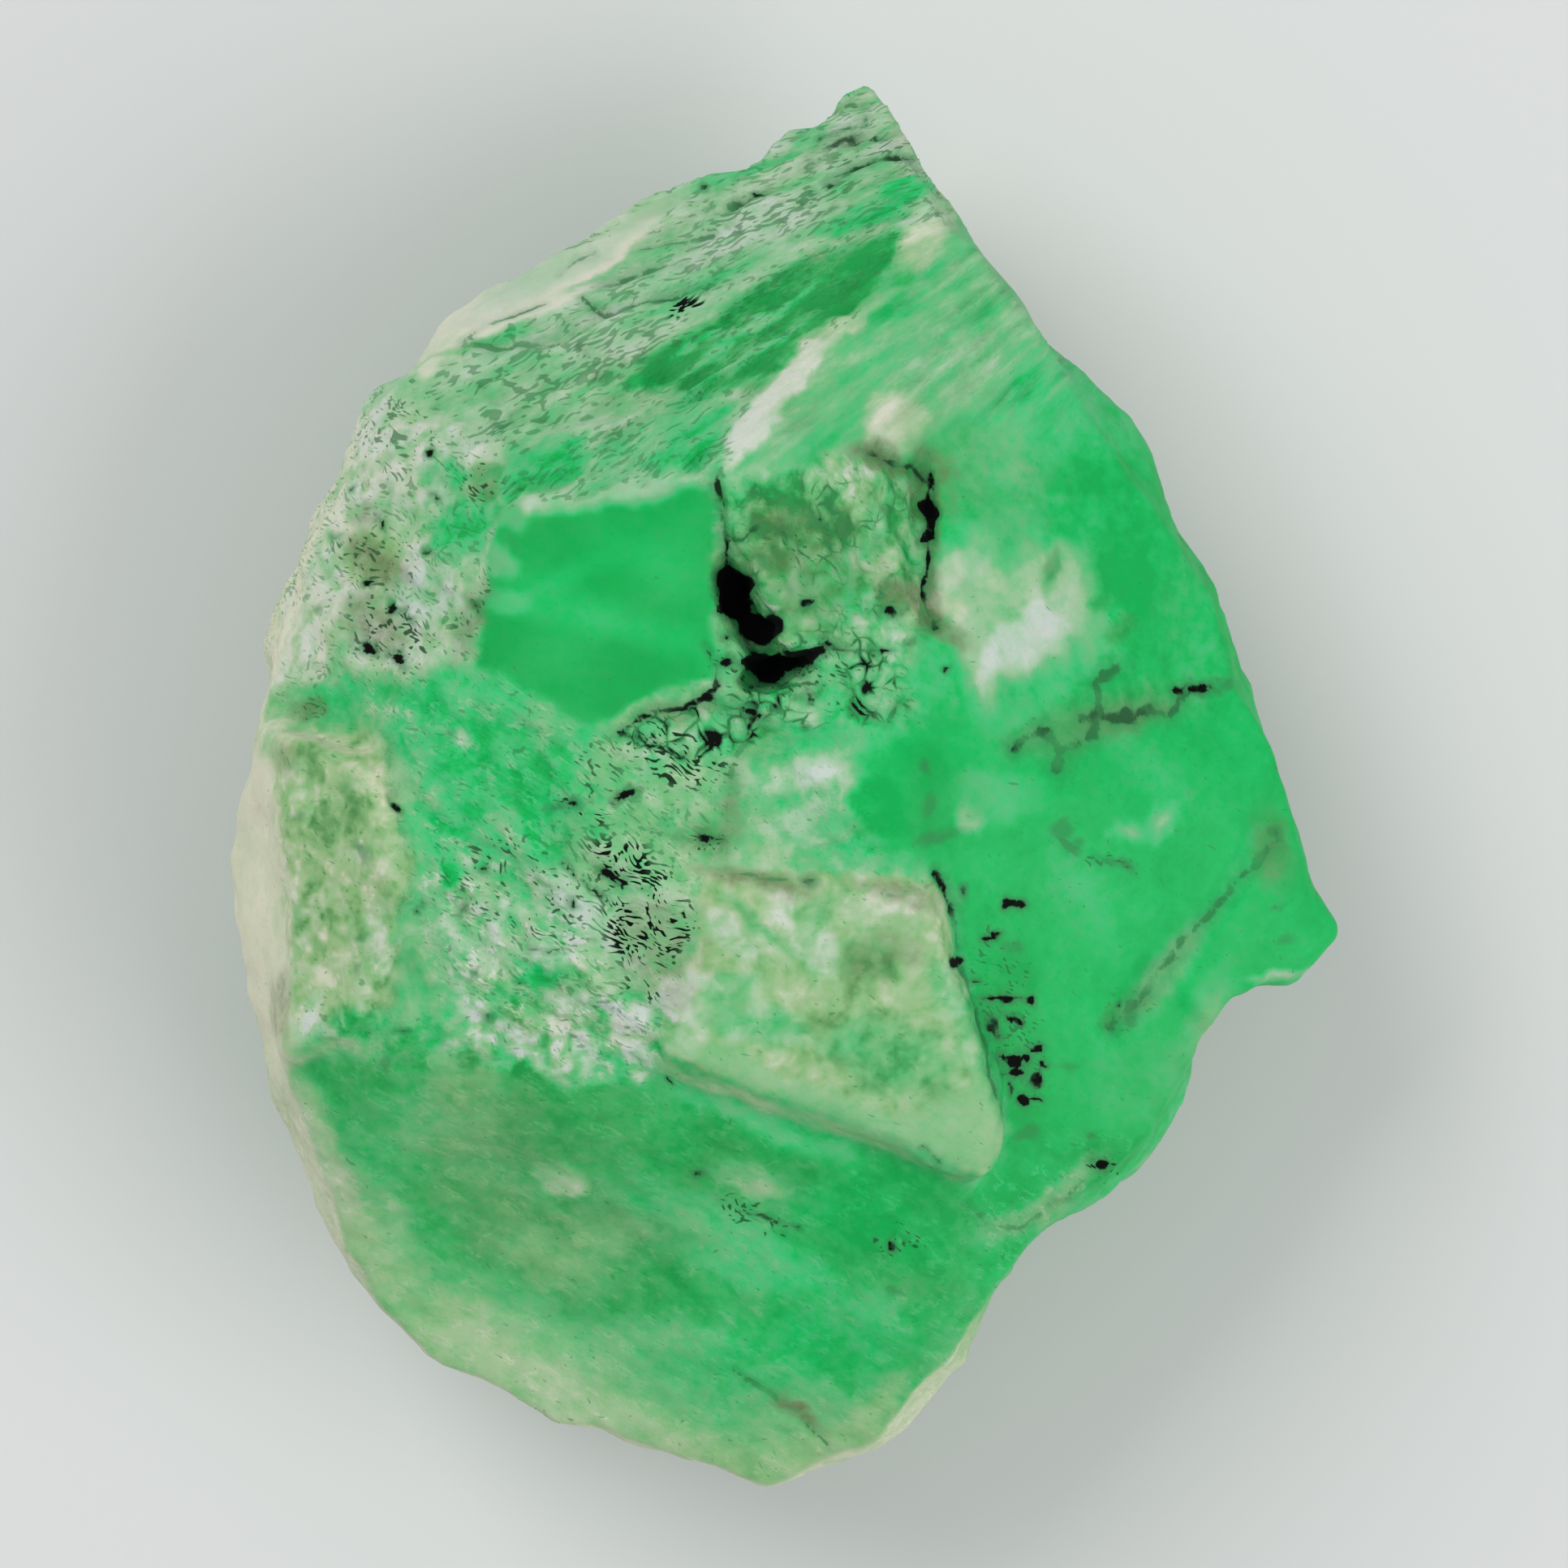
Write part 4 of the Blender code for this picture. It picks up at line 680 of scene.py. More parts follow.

# cracks and veins, and one painted shadow line: a run of points, half the width and how dark
cracks = {
    "rhombusEdge": ([(-2.4, 10.8), (-2.2, 9.7), (-2.1, 8.6)], 0.085, 0.85),
    "stainedCrack": (
        [
            (5.1, 10.9), (5.0, 9.9), (5.0, 8.5), (4.9, 6.8), (5.0, 6.1), (5.4, 5.5),
        ],
        0.075, 0.95,
    ),
    "diagonalCrack": ([(8.1, 1.3), (8.6, 1.6), (9.3, 1.9)], 0.16, 0.8),
    "slabTopCrack": ([(-2.3, -3.0), (-0.8, -3.3), (0.3, -3.4)], 0.08, 0.4),
    "slabTopCrackTwo": ([(2.6, -3.5), (3.7, -3.9), (5.3, -3.4)], 0.08, 0.3),
    "slabRightCrack": (
        [
            (5.3, -3.2), (5.7, -4.0), (6.1, -5.3), (6.3, -6.6), (6.8, -7.9), (7.2, -10.0), (7.7, -11.7),
        ],
        0.09, 0.6,
    ),
    # painted shadow: a soft dark line along the right edge of the raised left slab
    "leftSlabShadow": (
        [
            (-13.9, 1.2), (-13.6, -0.6), (-13.2, -2.1), (-13.2, -3.3), (-13.5, -5.6), (-13.7, -7.7),
        ],
        0.1, 0.22,
    ),
    "knobGroove": (
        [
            (17.6, -1.9), (16.4, -3.2), (15.2, -4.5), (14.0, -5.8), (12.6, -7.7), (11.6, -8.6),
        ],
        0.16, 0.55,
    ),
    "lowRightGroove": ([(6.1, -14.8), (7.2, -15.5), (8.4, -15.8), (9.5, -15.0), (10.6, -14.1)], 0.1, 0.4),
    "bottomCrack": ([(-1.8, -20.9), (-0.5, -21.7), (0.6, -22.6), (1.6, -23.6)], 0.07, 0.45),
    "veinOne": ([(-5.8, 1.8), (-4.8, 2.3), (-3.4, 2.6), (-2.3, 3.4)], 0.1, 0.9),
    "veinTwo": ([(-3.4, 2.6), (-2.7, 3.0), (-1.9, 2.4), (-1.0, 2.9), (-1.3, 1.9)], 0.1, 0.95),
    "veinThree": ([(1.3, 4.8), (2.3, 4.6), (3.2, 4.5)], 0.08, 0.8),
    "veinFour": ([(-0.2, 3.4), (0.6, 3.7), (1.3, 3.4)], 0.07, 0.7),
    "faceScratch": ([(-1.5, -15.1), (-0.5, -15.4), (0.6, -15.6)], 0.07, 0.7),
    "slabScratch": ([(4.7, -12.7), (5.4, -13.3)], 0.05, 0.7),
    "dotCrack": ([(9.5, -1.8), (10.6, -2.6), (12.2, -3.1)], 0.12, 0.4),
    "rhombusEdgeLow": ([(-2.1, 8.8), (-2.0, 8.0), (-1.9, 7.4)], 0.08, 1),
    "stainBranch": ([(2.8, 11.8), (3.7, 11.3), (4.5, 11.1), (4.9, 10.6)], 0.1, 0.78),
    "crownVein": ([(-2.1, 8.6), (-1.5, 8.5), (-0.9, 8.9)], 0.08, 0.7),
    "diagonalFork": ([(9.3, 1.9), (9.6, 1.3), (9.6, 0.6)], 0.2, 0.6),
    "diagonalForkTwo": ([(9.6, 1.3), (10.4, 1.5)], 0.18, 0.66),
    "diagonalRise": ([(10.7, 1.6), (11.2, 2.5), (11.0, 3.5), (11.8, 4.1)], 0.2, 0.62),
    "diagonalMiddle": ([(10.6, 2.3), (11.1, 2.4), (12.4, 2.5), (12.9, 2.7)], 0.2, 0.72),
    "diagonalBend": ([(13.0, 2.6), (13.7, 2.5), (14.3, 3.4)], 0.18, 0.62),
    "diagonalEnd": ([(13.9, 3.3), (14.6, 3.4), (15.2, 3.5)], 0.1, 1),
    "tipLine": ([(1.6, 21.3), (2.4, 21.8), (3.4, 22.1), (4.5, 22.3)], 0.085, 0.8),
    "tipLineTwo": ([(1.0, 22.3), (2.1, 22.9), (3.8, 23.0)], 0.1, 0.75),
    "tipLineThree": ([(1.3, 23.0), (2.3, 23.3), (2.9, 23.7)], 0.08, 0.65),
    "tipLineFour": ([(-1.9, 20.6), (-1.0, 20.9), (-0.6, 21.1)], 0.09, 0.7),
    "tipLineFive": ([(1.6, 24.0), (2.3, 24.3), (2.9, 24.3)], 0.09, 0.6),
    "veinFive": ([(2.1, 3.7), (2.7, 2.9), (3.6, 2.1), (3.9, 2.8)], 0.08, 0.8),
    "veinSix": ([(-2.8, 4.8), (-2.3, 3.9), (-2.5, 3.1)], 0.08, 0.8),
    "veinSeven": ([(-1.2, 1.8), (-1.8, 0.8), (-1.9, -0.6), (-2.3, -2.4)], 0.1, 0.35),
    "flakeLine": ([(-9.0, -5.7), (-8.3, -5.9), (-7.7, -5.7), (-7.2, -5.5), (-6.7, -5.4)], 0.05, 0.6),
    "flakeLineTwo": ([(-7.7, -2.7), (-7.2, -3.2), (-6.5, -3.7), (-6.0, -4.2)], 0.06, 1),
    "flakeLineThree": ([(-5.5, 1.6), (-4.8, 1.5), (-3.9, 1.0), (-3.4, 1.0)], 0.06, 0.9),
    "fanLine": ([(-11.4, 15.6), (-10.6, 16.3), (-9.5, 16.6), (-8.5, 17.0)], 0.07, 0.52),
    "fanLineTwo": ([(-11.4, 15.5), (-10.0, 15.3), (-8.9, 15.5), (-7.7, 15.8), (-6.7, 16.2)], 0.09, 0.5),
    "fanLineThree": ([(-7.2, 17.1), (-6.4, 16.6), (-5.1, 16.9), (-3.9, 17.2), (-2.5, 17.6)], 0.09, 0.62),
    "fanLineFour": ([(-6.6, 17.7), (-5.1, 18.1), (-3.9, 18.4)], 0.1, 0.6),
    "fanLineFive": ([(-4.9, 19.0), (-3.4, 19.3), (-2.5, 19.5)], 0.08, 0.55),
    "fanLineSix": ([(-8.0, 18.2), (-7.4, 18.7), (-6.8, 19.0)], 0.06, 0.4),
    "slabRightCrackTop": ([(5.3, -3.1), (5.5, -3.5), (5.8, -4.2), (6.0, -4.8)], 0.13, 1),
}

# small openings, painted black as the shade inside them: ovals
holes = {
    "crack": [
        (5.1, 10.6, 0.12, 0.26, 0),
    ],
    "besideSlab": [
        (8.1, -9.8, 0.32, 0.17, -15), (7.7, -9.6, 0.15, 0.12, 0), (8.5, -9.7, 0.15, 0.15, 0),
        (8.2, -10.2, 0.23, 0.12, -10),
    ],
    "leftSide": [
        (-14.6, 4.7, 0.26, 0.15, -30), (-13.5, 4.4, 0.2, 0.12, -30),
    ],
    "pockets": [
        (-2, 4.2, 0.2, 0.15, 0), (-2, 5.1, 0.12, 0.12, 0), (0.7, 3.1, 0.2, 0.15, 20),
        (-1.2, 2.5, 0.35, 0.15, -35), (1.7, 4.8, 0.26, 0.09, -10), (3.8, 5.9, 0.17, 0.12, 0),
    ],
    "pittedGround": [
        (-2.8, -1.9, 0.41, 0.17, -10), (-7.4, -0.7, 0.35, 0.15, 10), (-6.1, -3.1, 0.29, 0.12, -20),
        (-5.5, -0.4, 0.29, 0.12, 20),
    ],
    "edges": [
        (11.3, -13.5, 0.26, 0.2, 0), (14.7, 3.4, 0.46, 0.12, 5),
    ],
}

# large openings, painted black as the shade inside them, by their outlines
openings = {
    "upperPocket": [
        (-2.3, 7.2), (-1.8, 7.5), (-1.0, 6.8), (-1.3, 6.5), (-1.1, 6.0), (-0.1, 5.7), (-0.1, 5.3),
        (-0.6, 4.9), (-1.0, 4.9), (-1.5, 5.3), (-1.7, 5.7), (-2.3, 5.9),
    ],
    "lowerPocket": [
        (-1.5, 4.4), (-1.1, 4.6), (0.3, 4.5), (0.5, 4.6), (1.4, 4.8), (1.5, 4.6), (0.9, 4.2), (0.1, 3.9),
        (-0.3, 3.5), (-0.8, 3.5), (-1.3, 4.0),
    ],
    "crackSlot": [
        (4.6, 10.0), (5.0, 10.0), (5.4, 9.5), (5.2, 9.2), (5.2, 8.6), (4.7, 8.6), (5.0, 9.1), (4.8, 9.7),
    ],
}


def toLinear(code):
    parts = [int(code[i:i + 2], 16) / 255 for i in (0, 2, 4)]
    return tuple(p / 12.92 if p <= 0.04045 else ((p + 0.055) / 1.055) ** 2.4 for p in parts) + (1,)


# one wrapped socket; adding, multiplying and so on makes the maths nodes
class Wire:
    def __init__(self, tree, socket=None):
        self.tree, self.socket = tree, socket

    def node(self, kind, settings=None, inputs=None, output=0):
        made = self.tree.nodes.new(kind)
        for name, value in (settings or {}).items():
            setattr(made, name, value)
        for name, value in (inputs or {}).items():
            if isinstance(value, Wire):
                self.tree.links.new(value.socket, made.inputs[name])
            else:
                made.inputs[name].default_value = value
        return Wire(self.tree, made.outputs[output] if made.outputs else None)

    def math(self, operation, *values):
        return self.node("ShaderNodeMath", {"operation": operation}, dict(enumerate(values)))

    def __add__(self, other):
        return self.math("ADD", self, other)

    def __radd__(self, other):
        return self.math("ADD", other, self)

    def __sub__(self, other):
        return self.math("SUBTRACT", self, other)

    def __rsub__(self, other):
        return self.math("SUBTRACT", other, self)

    def __mul__(self, other):
        return self.math("MULTIPLY", self, other)

    def __rmul__(self, other):
        return self.math("MULTIPLY", other, self)

    def larger(self, other):
        return self.math("MAXIMUM", self, other)

    # 0 up to low, 1 from high on, smooth between
    def rise(self, low, high):
        inputs = {"Value": self, "From Min": low, "From Max": high}
        return self.node("ShaderNodeMapRange", {"interpolation_type": "SMOOTHSTEP"}, inputs)

    def attribute(self, name):
        return self.node("ShaderNodeAttribute", {"attribute_name": name}, output="Fac")

    def join(self, x, y, z):
        return self.node("ShaderNodeCombineXYZ", None, {0: x, 1: y, 2: z})

    # a place moved along x and y
    def moved(self, x, y):
        return self.node("ShaderNodeVectorMath", {"operation": "ADD"}, {0: self, 1: self.join(x, y, 0)})

    def scaled(self, factor):
        return self.node("ShaderNodeVectorMath", {"operation": "SCALE"}, {"Vector": self, "Scale": factor})

    def noise(self, scale, detail=0, roughness=0.5):
        inputs = {"Vector": self, "Scale": scale, "Detail": detail, "Roughness": roughness}
        return self.node("ShaderNodeTexNoise", None, inputs)

    # distance to the border of rounded cells
    def cellBorders(self, scale):
        settings, inputs = {"feature": "DISTANCE_TO_EDGE"}, {"Vector": self, "Scale": scale}
        return self.node("ShaderNodeTexVoronoi", settings, inputs, "Distance")

    def ramp(self, stops):
        made = self.node("ShaderNodeValToRGB", None, {"Fac": self})
        colours = made.socket.node.color_ramp.elements
        for place, _ in stops[2:]:
            colours.new(place)
        for colour, (place, code) in zip(colours, stops):
            colour.position, colour.color = place, toLinear(code)
        return made

    def mix(self, other, factor):
        settings = {"data_type": "RGBA", "clamp_factor": True}
        return self.node("ShaderNodeMix", settings, {0: factor, 6: self, 7: other}, 2)


def lumps(points, size, shift=0.0):
    return np.array([noise.noise(Vector(p / size + shift)) for p in points])


# how far places lie inside an outline, in mm; below 0 is outside
def depthInside(outline, x, y):
    inside = np.zeros(len(x), bool)
    for (ax, ay), (bx, by) in zip(outline, outline[1:] + outline[:1]):
        if ay != by:
            crosses = (ay > y) != (by > y)
            inside ^= crosses & (x < ax + (y - ay) / (by - ay) * (bx - ax))
    away = awayFromRun(outline + outline[:1], x, y)
    return np.where(inside, away, -away)


# distance in plan to the nearest leg of a run of points
def awayFromRun(run, x, y):
    nearest = np.full(len(x), np.inf)
    for (ax, ay), (bx, by) in zip(run, run[1:]):
        legX, legY = bx - ax, by - ay
        share = np.clip(((x - ax) * legX + (y - ay) * legY) / math.hypot(legX, legY) ** 2, 0, 1)
        nearest = np.minimum(nearest, np.hypot(x - ax - share * legX, y - ay - share * legY))
    return nearest


def smoothRise(value, low, high):
    t = np.clip((value - low) / (high - low), 0, 1)
    return t * t * (3 - 2 * t)


# a place measured along and across a heading
def turned(x, y, heading):
    turn = math.radians(heading)
    return x * math.cos(turn) + y * math.sin(turn), y * math.cos(turn) - x * math.sin(turn)


# 1 in the middle of an oval and 0 on its border
def oval(shape, x, y):
    middleX, middleY, halfLength, halfWidth, heading = shape
    along, across = turned(x - middleX, y - middleY, heading)
    return 1 - np.hypot(along / halfLength, across / halfWidth)


# how far places lie inside an oval, in mm
def ovalDepth(shape, x, y):
    return oval(shape, x, y) * min(shape[2:4])


# the ovals of a table one by one, each with the values that follow it
def ovalsOf(table):
    for rows in table.values():
        for row in rows:
            yield row[:5], *row[5:]


# places in a fan: across its streaks, along them, and up
def fanOf(points, across, along):
    x, y = points[:, 0] - stone["fanMiddle"][0], points[:, 1] - stone["fanMiddle"][1]
    return np.stack([np.arctan2(-y, -x) * across, np.hypot(x, y) * along, points[:, 2] * 0.2], axis=1)


def pointsOf(obj, what="co"):
    values = np.empty(len(obj.data.vertices) * 3)
    obj.data.vertices.foreach_get(what, values)
    return values.reshape(-1, 3)


def putPoints(obj, points):
    obj.data.vertices.foreach_set("co", points.ravel())
    obj.data.update()


def applyModifiers(obj):
    graph = bpy.context.evaluated_depsgraph_get()
    mesh = bpy.data.meshes.new_from_object(obj.evaluated_get(graph))
    obj.modifiers.clear()
    obj.data = mesh


# number the edges by their ends, so later steps always start from the same mesh
def settleOrder(obj):
    bm = bmesh.new()
    bm.from_mesh(obj.data)
    bm.verts.index_update()
    count = len(bm.verts)
    bm.edges.sort(key=lambda e: min(v.index for v in e.verts) * count + max(v.index for v in e.verts))
    bm.to_mesh(obj.data)
    bm.free()


def isLevel(face):
    return max(vert.co.z for vert in face.verts) < stone["baseLevel"] * mm


# more faces on the level base, so that blots on it keep their shape
def splitBase(obj):
    bm = bmesh.new()
    bm.from_mesh(obj.data)
    smallest = stone["baseFace"] * mm * mm
    for step in range(stone["baseSplits"]):
        large = [face for face in bm.faces if isLevel(face) and face.calc_area() > smallest]
        bmesh.ops.poke(bm, faces=large)
        bmesh.ops.triangulate(bm, faces=[face for face in bm.faces if len(face.verts) > 3])
        level = [face for face in bm.faces if isLevel(face)]
        inner = [edge for edge in bm.edges if all(isLevel(face) for face in edge.link_faces)]
        bmesh.ops.beautify_fill(bm, faces=level, edges=inner)
    bm.to_mesh(obj.data)
    bm.free()


def makeSkin():
    print("fine skin over the CAD stone")
    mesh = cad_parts["emerald"].data.copy()
    bm = bmesh.new()
    bm.from_mesh(mesh)
    bmesh.ops.remove_doubles(bm, verts=bm.verts, dist=1e-6)
    bmesh.ops.recalc_face_normals(bm, faces=bm.faces)
    bm.to_mesh(mesh)
    bm.free()
    obj = bpy.data.objects.new("raw_emerald", mesh)
    bpy.context.scene.collection.objects.link(obj)
    mesh.materials.clear()
    skin = obj.modifiers.new("skin", "REMESH")
    skin.mode = "VOXEL"
    skin.voxel_size = stone["voxel"] * mm
    applyModifiers(obj)
    settleOrder(obj)
    soft = obj.modifiers.new("soft facets", "SMOOTH")
    soft.factor, soft.iterations = 0.5, stone["facetPasses"]
    under = obj.vertex_groups.new(name="underside")
    low = np.nonzero(pointsOf(obj, "normal")[:, 2] < 0.1)[0]
    under.add([int(i) for i in low], 1, "REPLACE")
    thin = obj.modifiers.new("thinner underside", "DECIMATE")
    thin.vertex_group = "underside"
    count = len(obj.data.polygons) * 2
    thin.ratio = 1 - len(low) / len(obj.data.vertices) * (1 - stone["undersideKept"])
    applyModifiers(obj)
    obj.vertex_groups.clear()
    splitBase(obj)
    settleOrder(obj)
    print("skin", count, "triangles, then", sum(len(p.vertices) - 2 for p in obj.data.polygons))
    return obj


# lumps of one size drawn together into blots, from -0.5 to 0.5
def curdle(points, size, shift):
    field = lumps(points, size, shift) + 0.5 * lumps(points, size / 2, shift + 9)
    return smoothRise(field, -0.16, 0.16) - 0.5


def blotted(points, layers):
    return sum(share * curdle(points, size, shift) for size, share, shift in layers)


# the areas and the marks on them: a dictionary of one value a point
def paintGrounds(x, y, fan):
    names = "tone", "warmth", "fibre", "grain", "flow", "pits", "vein", "curd"
    survey = {name: np.zeros(len(x)) for name in names}
    for name, value in stone["plainGround"].items():
        survey[name] += value
    inFibres = smoothRise(depthInside(grounds["fibrousFace"]["outline"], x, y), 0, 0.6)
    ragged = 1.1 * lumps(fan, 1.0) * inFibres
    for ground in grounds.values():
        depth = depthInside(ground["outline"], x + 0.85 * ragged, y + 0.5 * ragged)
        share = smoothRise(depth, -ground["soft"], ground["soft"])
        for name, values in survey.items():
            values += (ground.get(name, 0) - values) * share
    for mark in marks.values():
        share = smoothRise(depthInside(mark["outline"], x, y), -mark["soft"], mark["soft"])
        for name in survey.keys() & mark.keys():
            survey[name] += (mark[name] - survey[name]) * share
    return survey


def paintOvals(survey, x, y, wander):
    def faded(depth, edge):
        bend, start, full = stone[edge]
        return smoothRise(depth + bend * wander, start, full)

    survey.update({name: np.zeros(len(x)) for name in ("black", "spot", "stain")})
    for table in (patches, flecks):
        for shape, tone, warmth, soft in ovalsOf(table):
            depth = ovalDepth(shape, x, y) + stone["patchWander"] * wander
            share = smoothRise(depth, -soft, soft * 0.8)
            survey["tone"] += (tone - survey["tone"]) * share
            survey["warmth"] += (warmth - survey["warmth"]) * share
    for shape, pits, black in ovalsOf(pitted):
        share = faded(oval(shape, x, y), "pitEdge")
        survey["pits"] += (pits - survey["pits"]) * share
        survey["black"] += (black - survey["black"]) * share
    for shape, strength in ovalsOf(spots):
        share = faded(ovalDepth(shape, x, y), "spotEdge")
        survey["spot"] = np.maximum(survey["spot"], share * strength)
    for shape, strength in ovalsOf(stains):
        share = faded(oval(shape, x, y), "stainEdge")
        survey["stain"] = np.maximum(survey["stain"], share * strength)


# curds, grains and broad clouds of tone; each call of lumps gives a size and a shift of its own
def mottle(survey, points, fan):
    curds = blotted(points, stone["curds"])
    survey["tone"] += survey["curd"] * stone["toneShare"]["curds"] * curds
    survey["warmth"] -= survey["curd"] * stone["warmthShare"]["curds"] * curds
    survey["tone"] += survey["grain"] * blotted(points, stone["grainBlots"])
    clouds = 0.26 * lumps(points, 3.4, 60.0) * (0.4 + survey["grain"])
    survey["tone"] += clouds + 0.05 * lumps(points, 1.3, 64.0)
    survey["warmth"] += survey["grain"] * 0.5 * lumps(points, 1.5, 33.0) + 0.15 * lumps(points, 4.0, 52.0)
    survey["pits"] *= 0.9 + 0.6 * lumps(points, 1.3, 14.0) + 0.9 * survey["fibre"] * lumps(fan, 0.7, 130.0)
    survey["vein"] *= np.clip(0.75 + 1.6 * lumps(points, 1.2, 90.0), 0, 1)
    survey["shiftX"], survey["shiftY"] = (0.55 * lumps(points, 0.9, shift) for shift in (101.0, 107.0))


# plain ground on what faces down or sideways, and a pale edge of painted rim light; up is the normal's z
def dressSides(survey, points, up):
    faceUp = smoothRise(up, *stone["topFrom"])
    for name, side in stone["sideGround"].items():
        survey[name] = side + (survey[name] - side) * faceUp
    survey["fibre"] *= smoothRise(up, *stone["fibresFrom"])
    survey["tone"] += (1 - faceUp) * (0.35 * curdle(points, 2.2, 8.0) + 0.4 * lumps(points, 5.0, 15.0))
    survey["warmth"] += (1 - faceUp) * 0.6 * lumps(points, 4.0, 25.0)
    # painted rim light: the steep sides on the lower left turn pale cream
    rimLight = (1 - smoothRise(up, *stone["rimLightTo"])) * smoothRise(up, *stone["rimLightFrom"])
    rimLight *= smoothRise(-points[:, 0] - 0.8 * points[:, 1], 2, 12)  # painted rim light only on the lower left
    survey["tone"] += np.maximum(stone["rimLightTone"] - survey["tone"], 0) * rimLight * stone["rimLightShare"]
    survey["warmth"] += (stone["rimLightWarmth"] - survey["warmth"]) * rimLight * stone["rimLightShare"]


# across is the distance from the nearest crack in half widths, near how strong that crack is
def traceCracks(survey, points, up, x, y):
    fadeFrom, fadeTo = stone["crackReach"]
    survey["across"], survey["near"] = np.full(len(x), fadeTo), np.zeros(len(x))
    nearest = np.full(len(x), np.inf)
    for run, halfWidth, strength in cracks.values():
        away = awayFromRun(run, x, y)
        closer = (away < nearest) & (up > 0)
        nearest = np.where(closer, away, nearest)
        survey["across"] = np.where(closer, away / halfWidth, survey["across"])
        near = strength * smoothRise(-away, -fadeTo * halfWidth, -fadeFrom * halfWidth)
        survey["near"] = np.where(closer, near, survey["near"])
    survey["near"] *= np.clip(0.95 + 0.9 * lumps(points, 0.9, 71.0), 0, 1)


def traceHoles(survey, up, x, y, wander):
    depths = [depthInside(outline, x, y) for outline in openings.values()]
    depths += [ovalDepth(shape, x, y) for (shape,) in ovalsOf(holes)]
    survey["hole"] = np.full(len(x), -1.0)
    for depth in depths:
        survey["hole"] = np.maximum(survey["hole"], depth + stone["holeWander"] * wander)
    survey["hole"][up < stone["topFrom"][0]] = -1.0


def surveySkin(points, up):
    print("areas, patches, pits, stains, cracks and holes")
    wander = [sum(share * lumps(points, size, shift) for size, share in stone["wander"])
              for shift in (3.0, 40.0, 77.0)]
    fan = fanOf(points, 45, 0.25)
    x, y = (points[:, i] + stone["borderWander"] * wander[i] for i in range(2))
    survey = paintGrounds(x, y, fan)
    paintOvals(survey, x, y, wander[2])
    mottle(survey, points, fan)
    dressSides(survey, points, up)
    x, y = (points[:, i] + stone["crackWander"] * wander[i] for i in range(2))
    traceCracks(survey, points, up, x, y)
    traceHoles(survey, up, x, y, wander[2])
    return survey


def carveSkin(obj):
    points, normals = pointsOf(obj) / mm, pointsOf(obj, "normal")
    survey = surveySkin(points, normals[:, 2])
    print("relief")
    relief, size = stone["relief"], stone["reliefSize"]
    along, across = turned(points[:, 0], points[:, 1], stone["flowHeading"])
    flow = np.stack([along * 0.5, across * 1.6, points[:, 2]], axis=1)
    ridges = 1 - 4 * np.abs(lumps(fanOf(points, 55, 0.45), 1.0))
    grains = lumps(points, size["grain"][0]) + 0.5 * lumps(points, size["grain"][1])
    flakes = lumps(flow, size["flow"][0]) + 0.4 * lumps(flow, size["flow"][1])
    dents = -smoothRise(lumps(flow, size["pits"], 12.0), 0.15, 0.5)
    offset = survey["fibre"] * ridges * relief["fibre"] + survey["grain"] * grains * relief["grain"]
    offset += survey["flow"] * flakes * relief["flow"] + survey["pits"] * dents * relief["pits"]
    offset += lumps(points, size["calm"]) * relief["calm"]
    offset -= relief["crack"] * survey["near"] * np.maximum(1 - survey["across"] / 2, 0)
    offset -= relief["hole"] * np.clip(survey["hole"] / stone["holeSlope"], 0, 1)
    survey["tone"] += survey["grain"] * 0.15 * grains + survey["flow"] * 0.12 * flakes
    onBase = points[:, 2] < stone["baseHeight"]
    offset[onBase] = 0
    points += normals * offset[:, None]
    inside = 1e-6  # the skin stays this far inside the CAD box
    points = np.clip(points * mm, np.array(cadBox[0]) + inside, np.array(cadBox[1]) - inside)
    points[onBase, 2] = cadBox[0][2]
    putPoints(obj, points)
    for name, values in survey.items():
        layer = obj.data.attributes.new(name, "FLOAT", "POINT")
        layer.data.foreach_set("value", values.astype(np.float32))
    obj.data.shade_smooth()


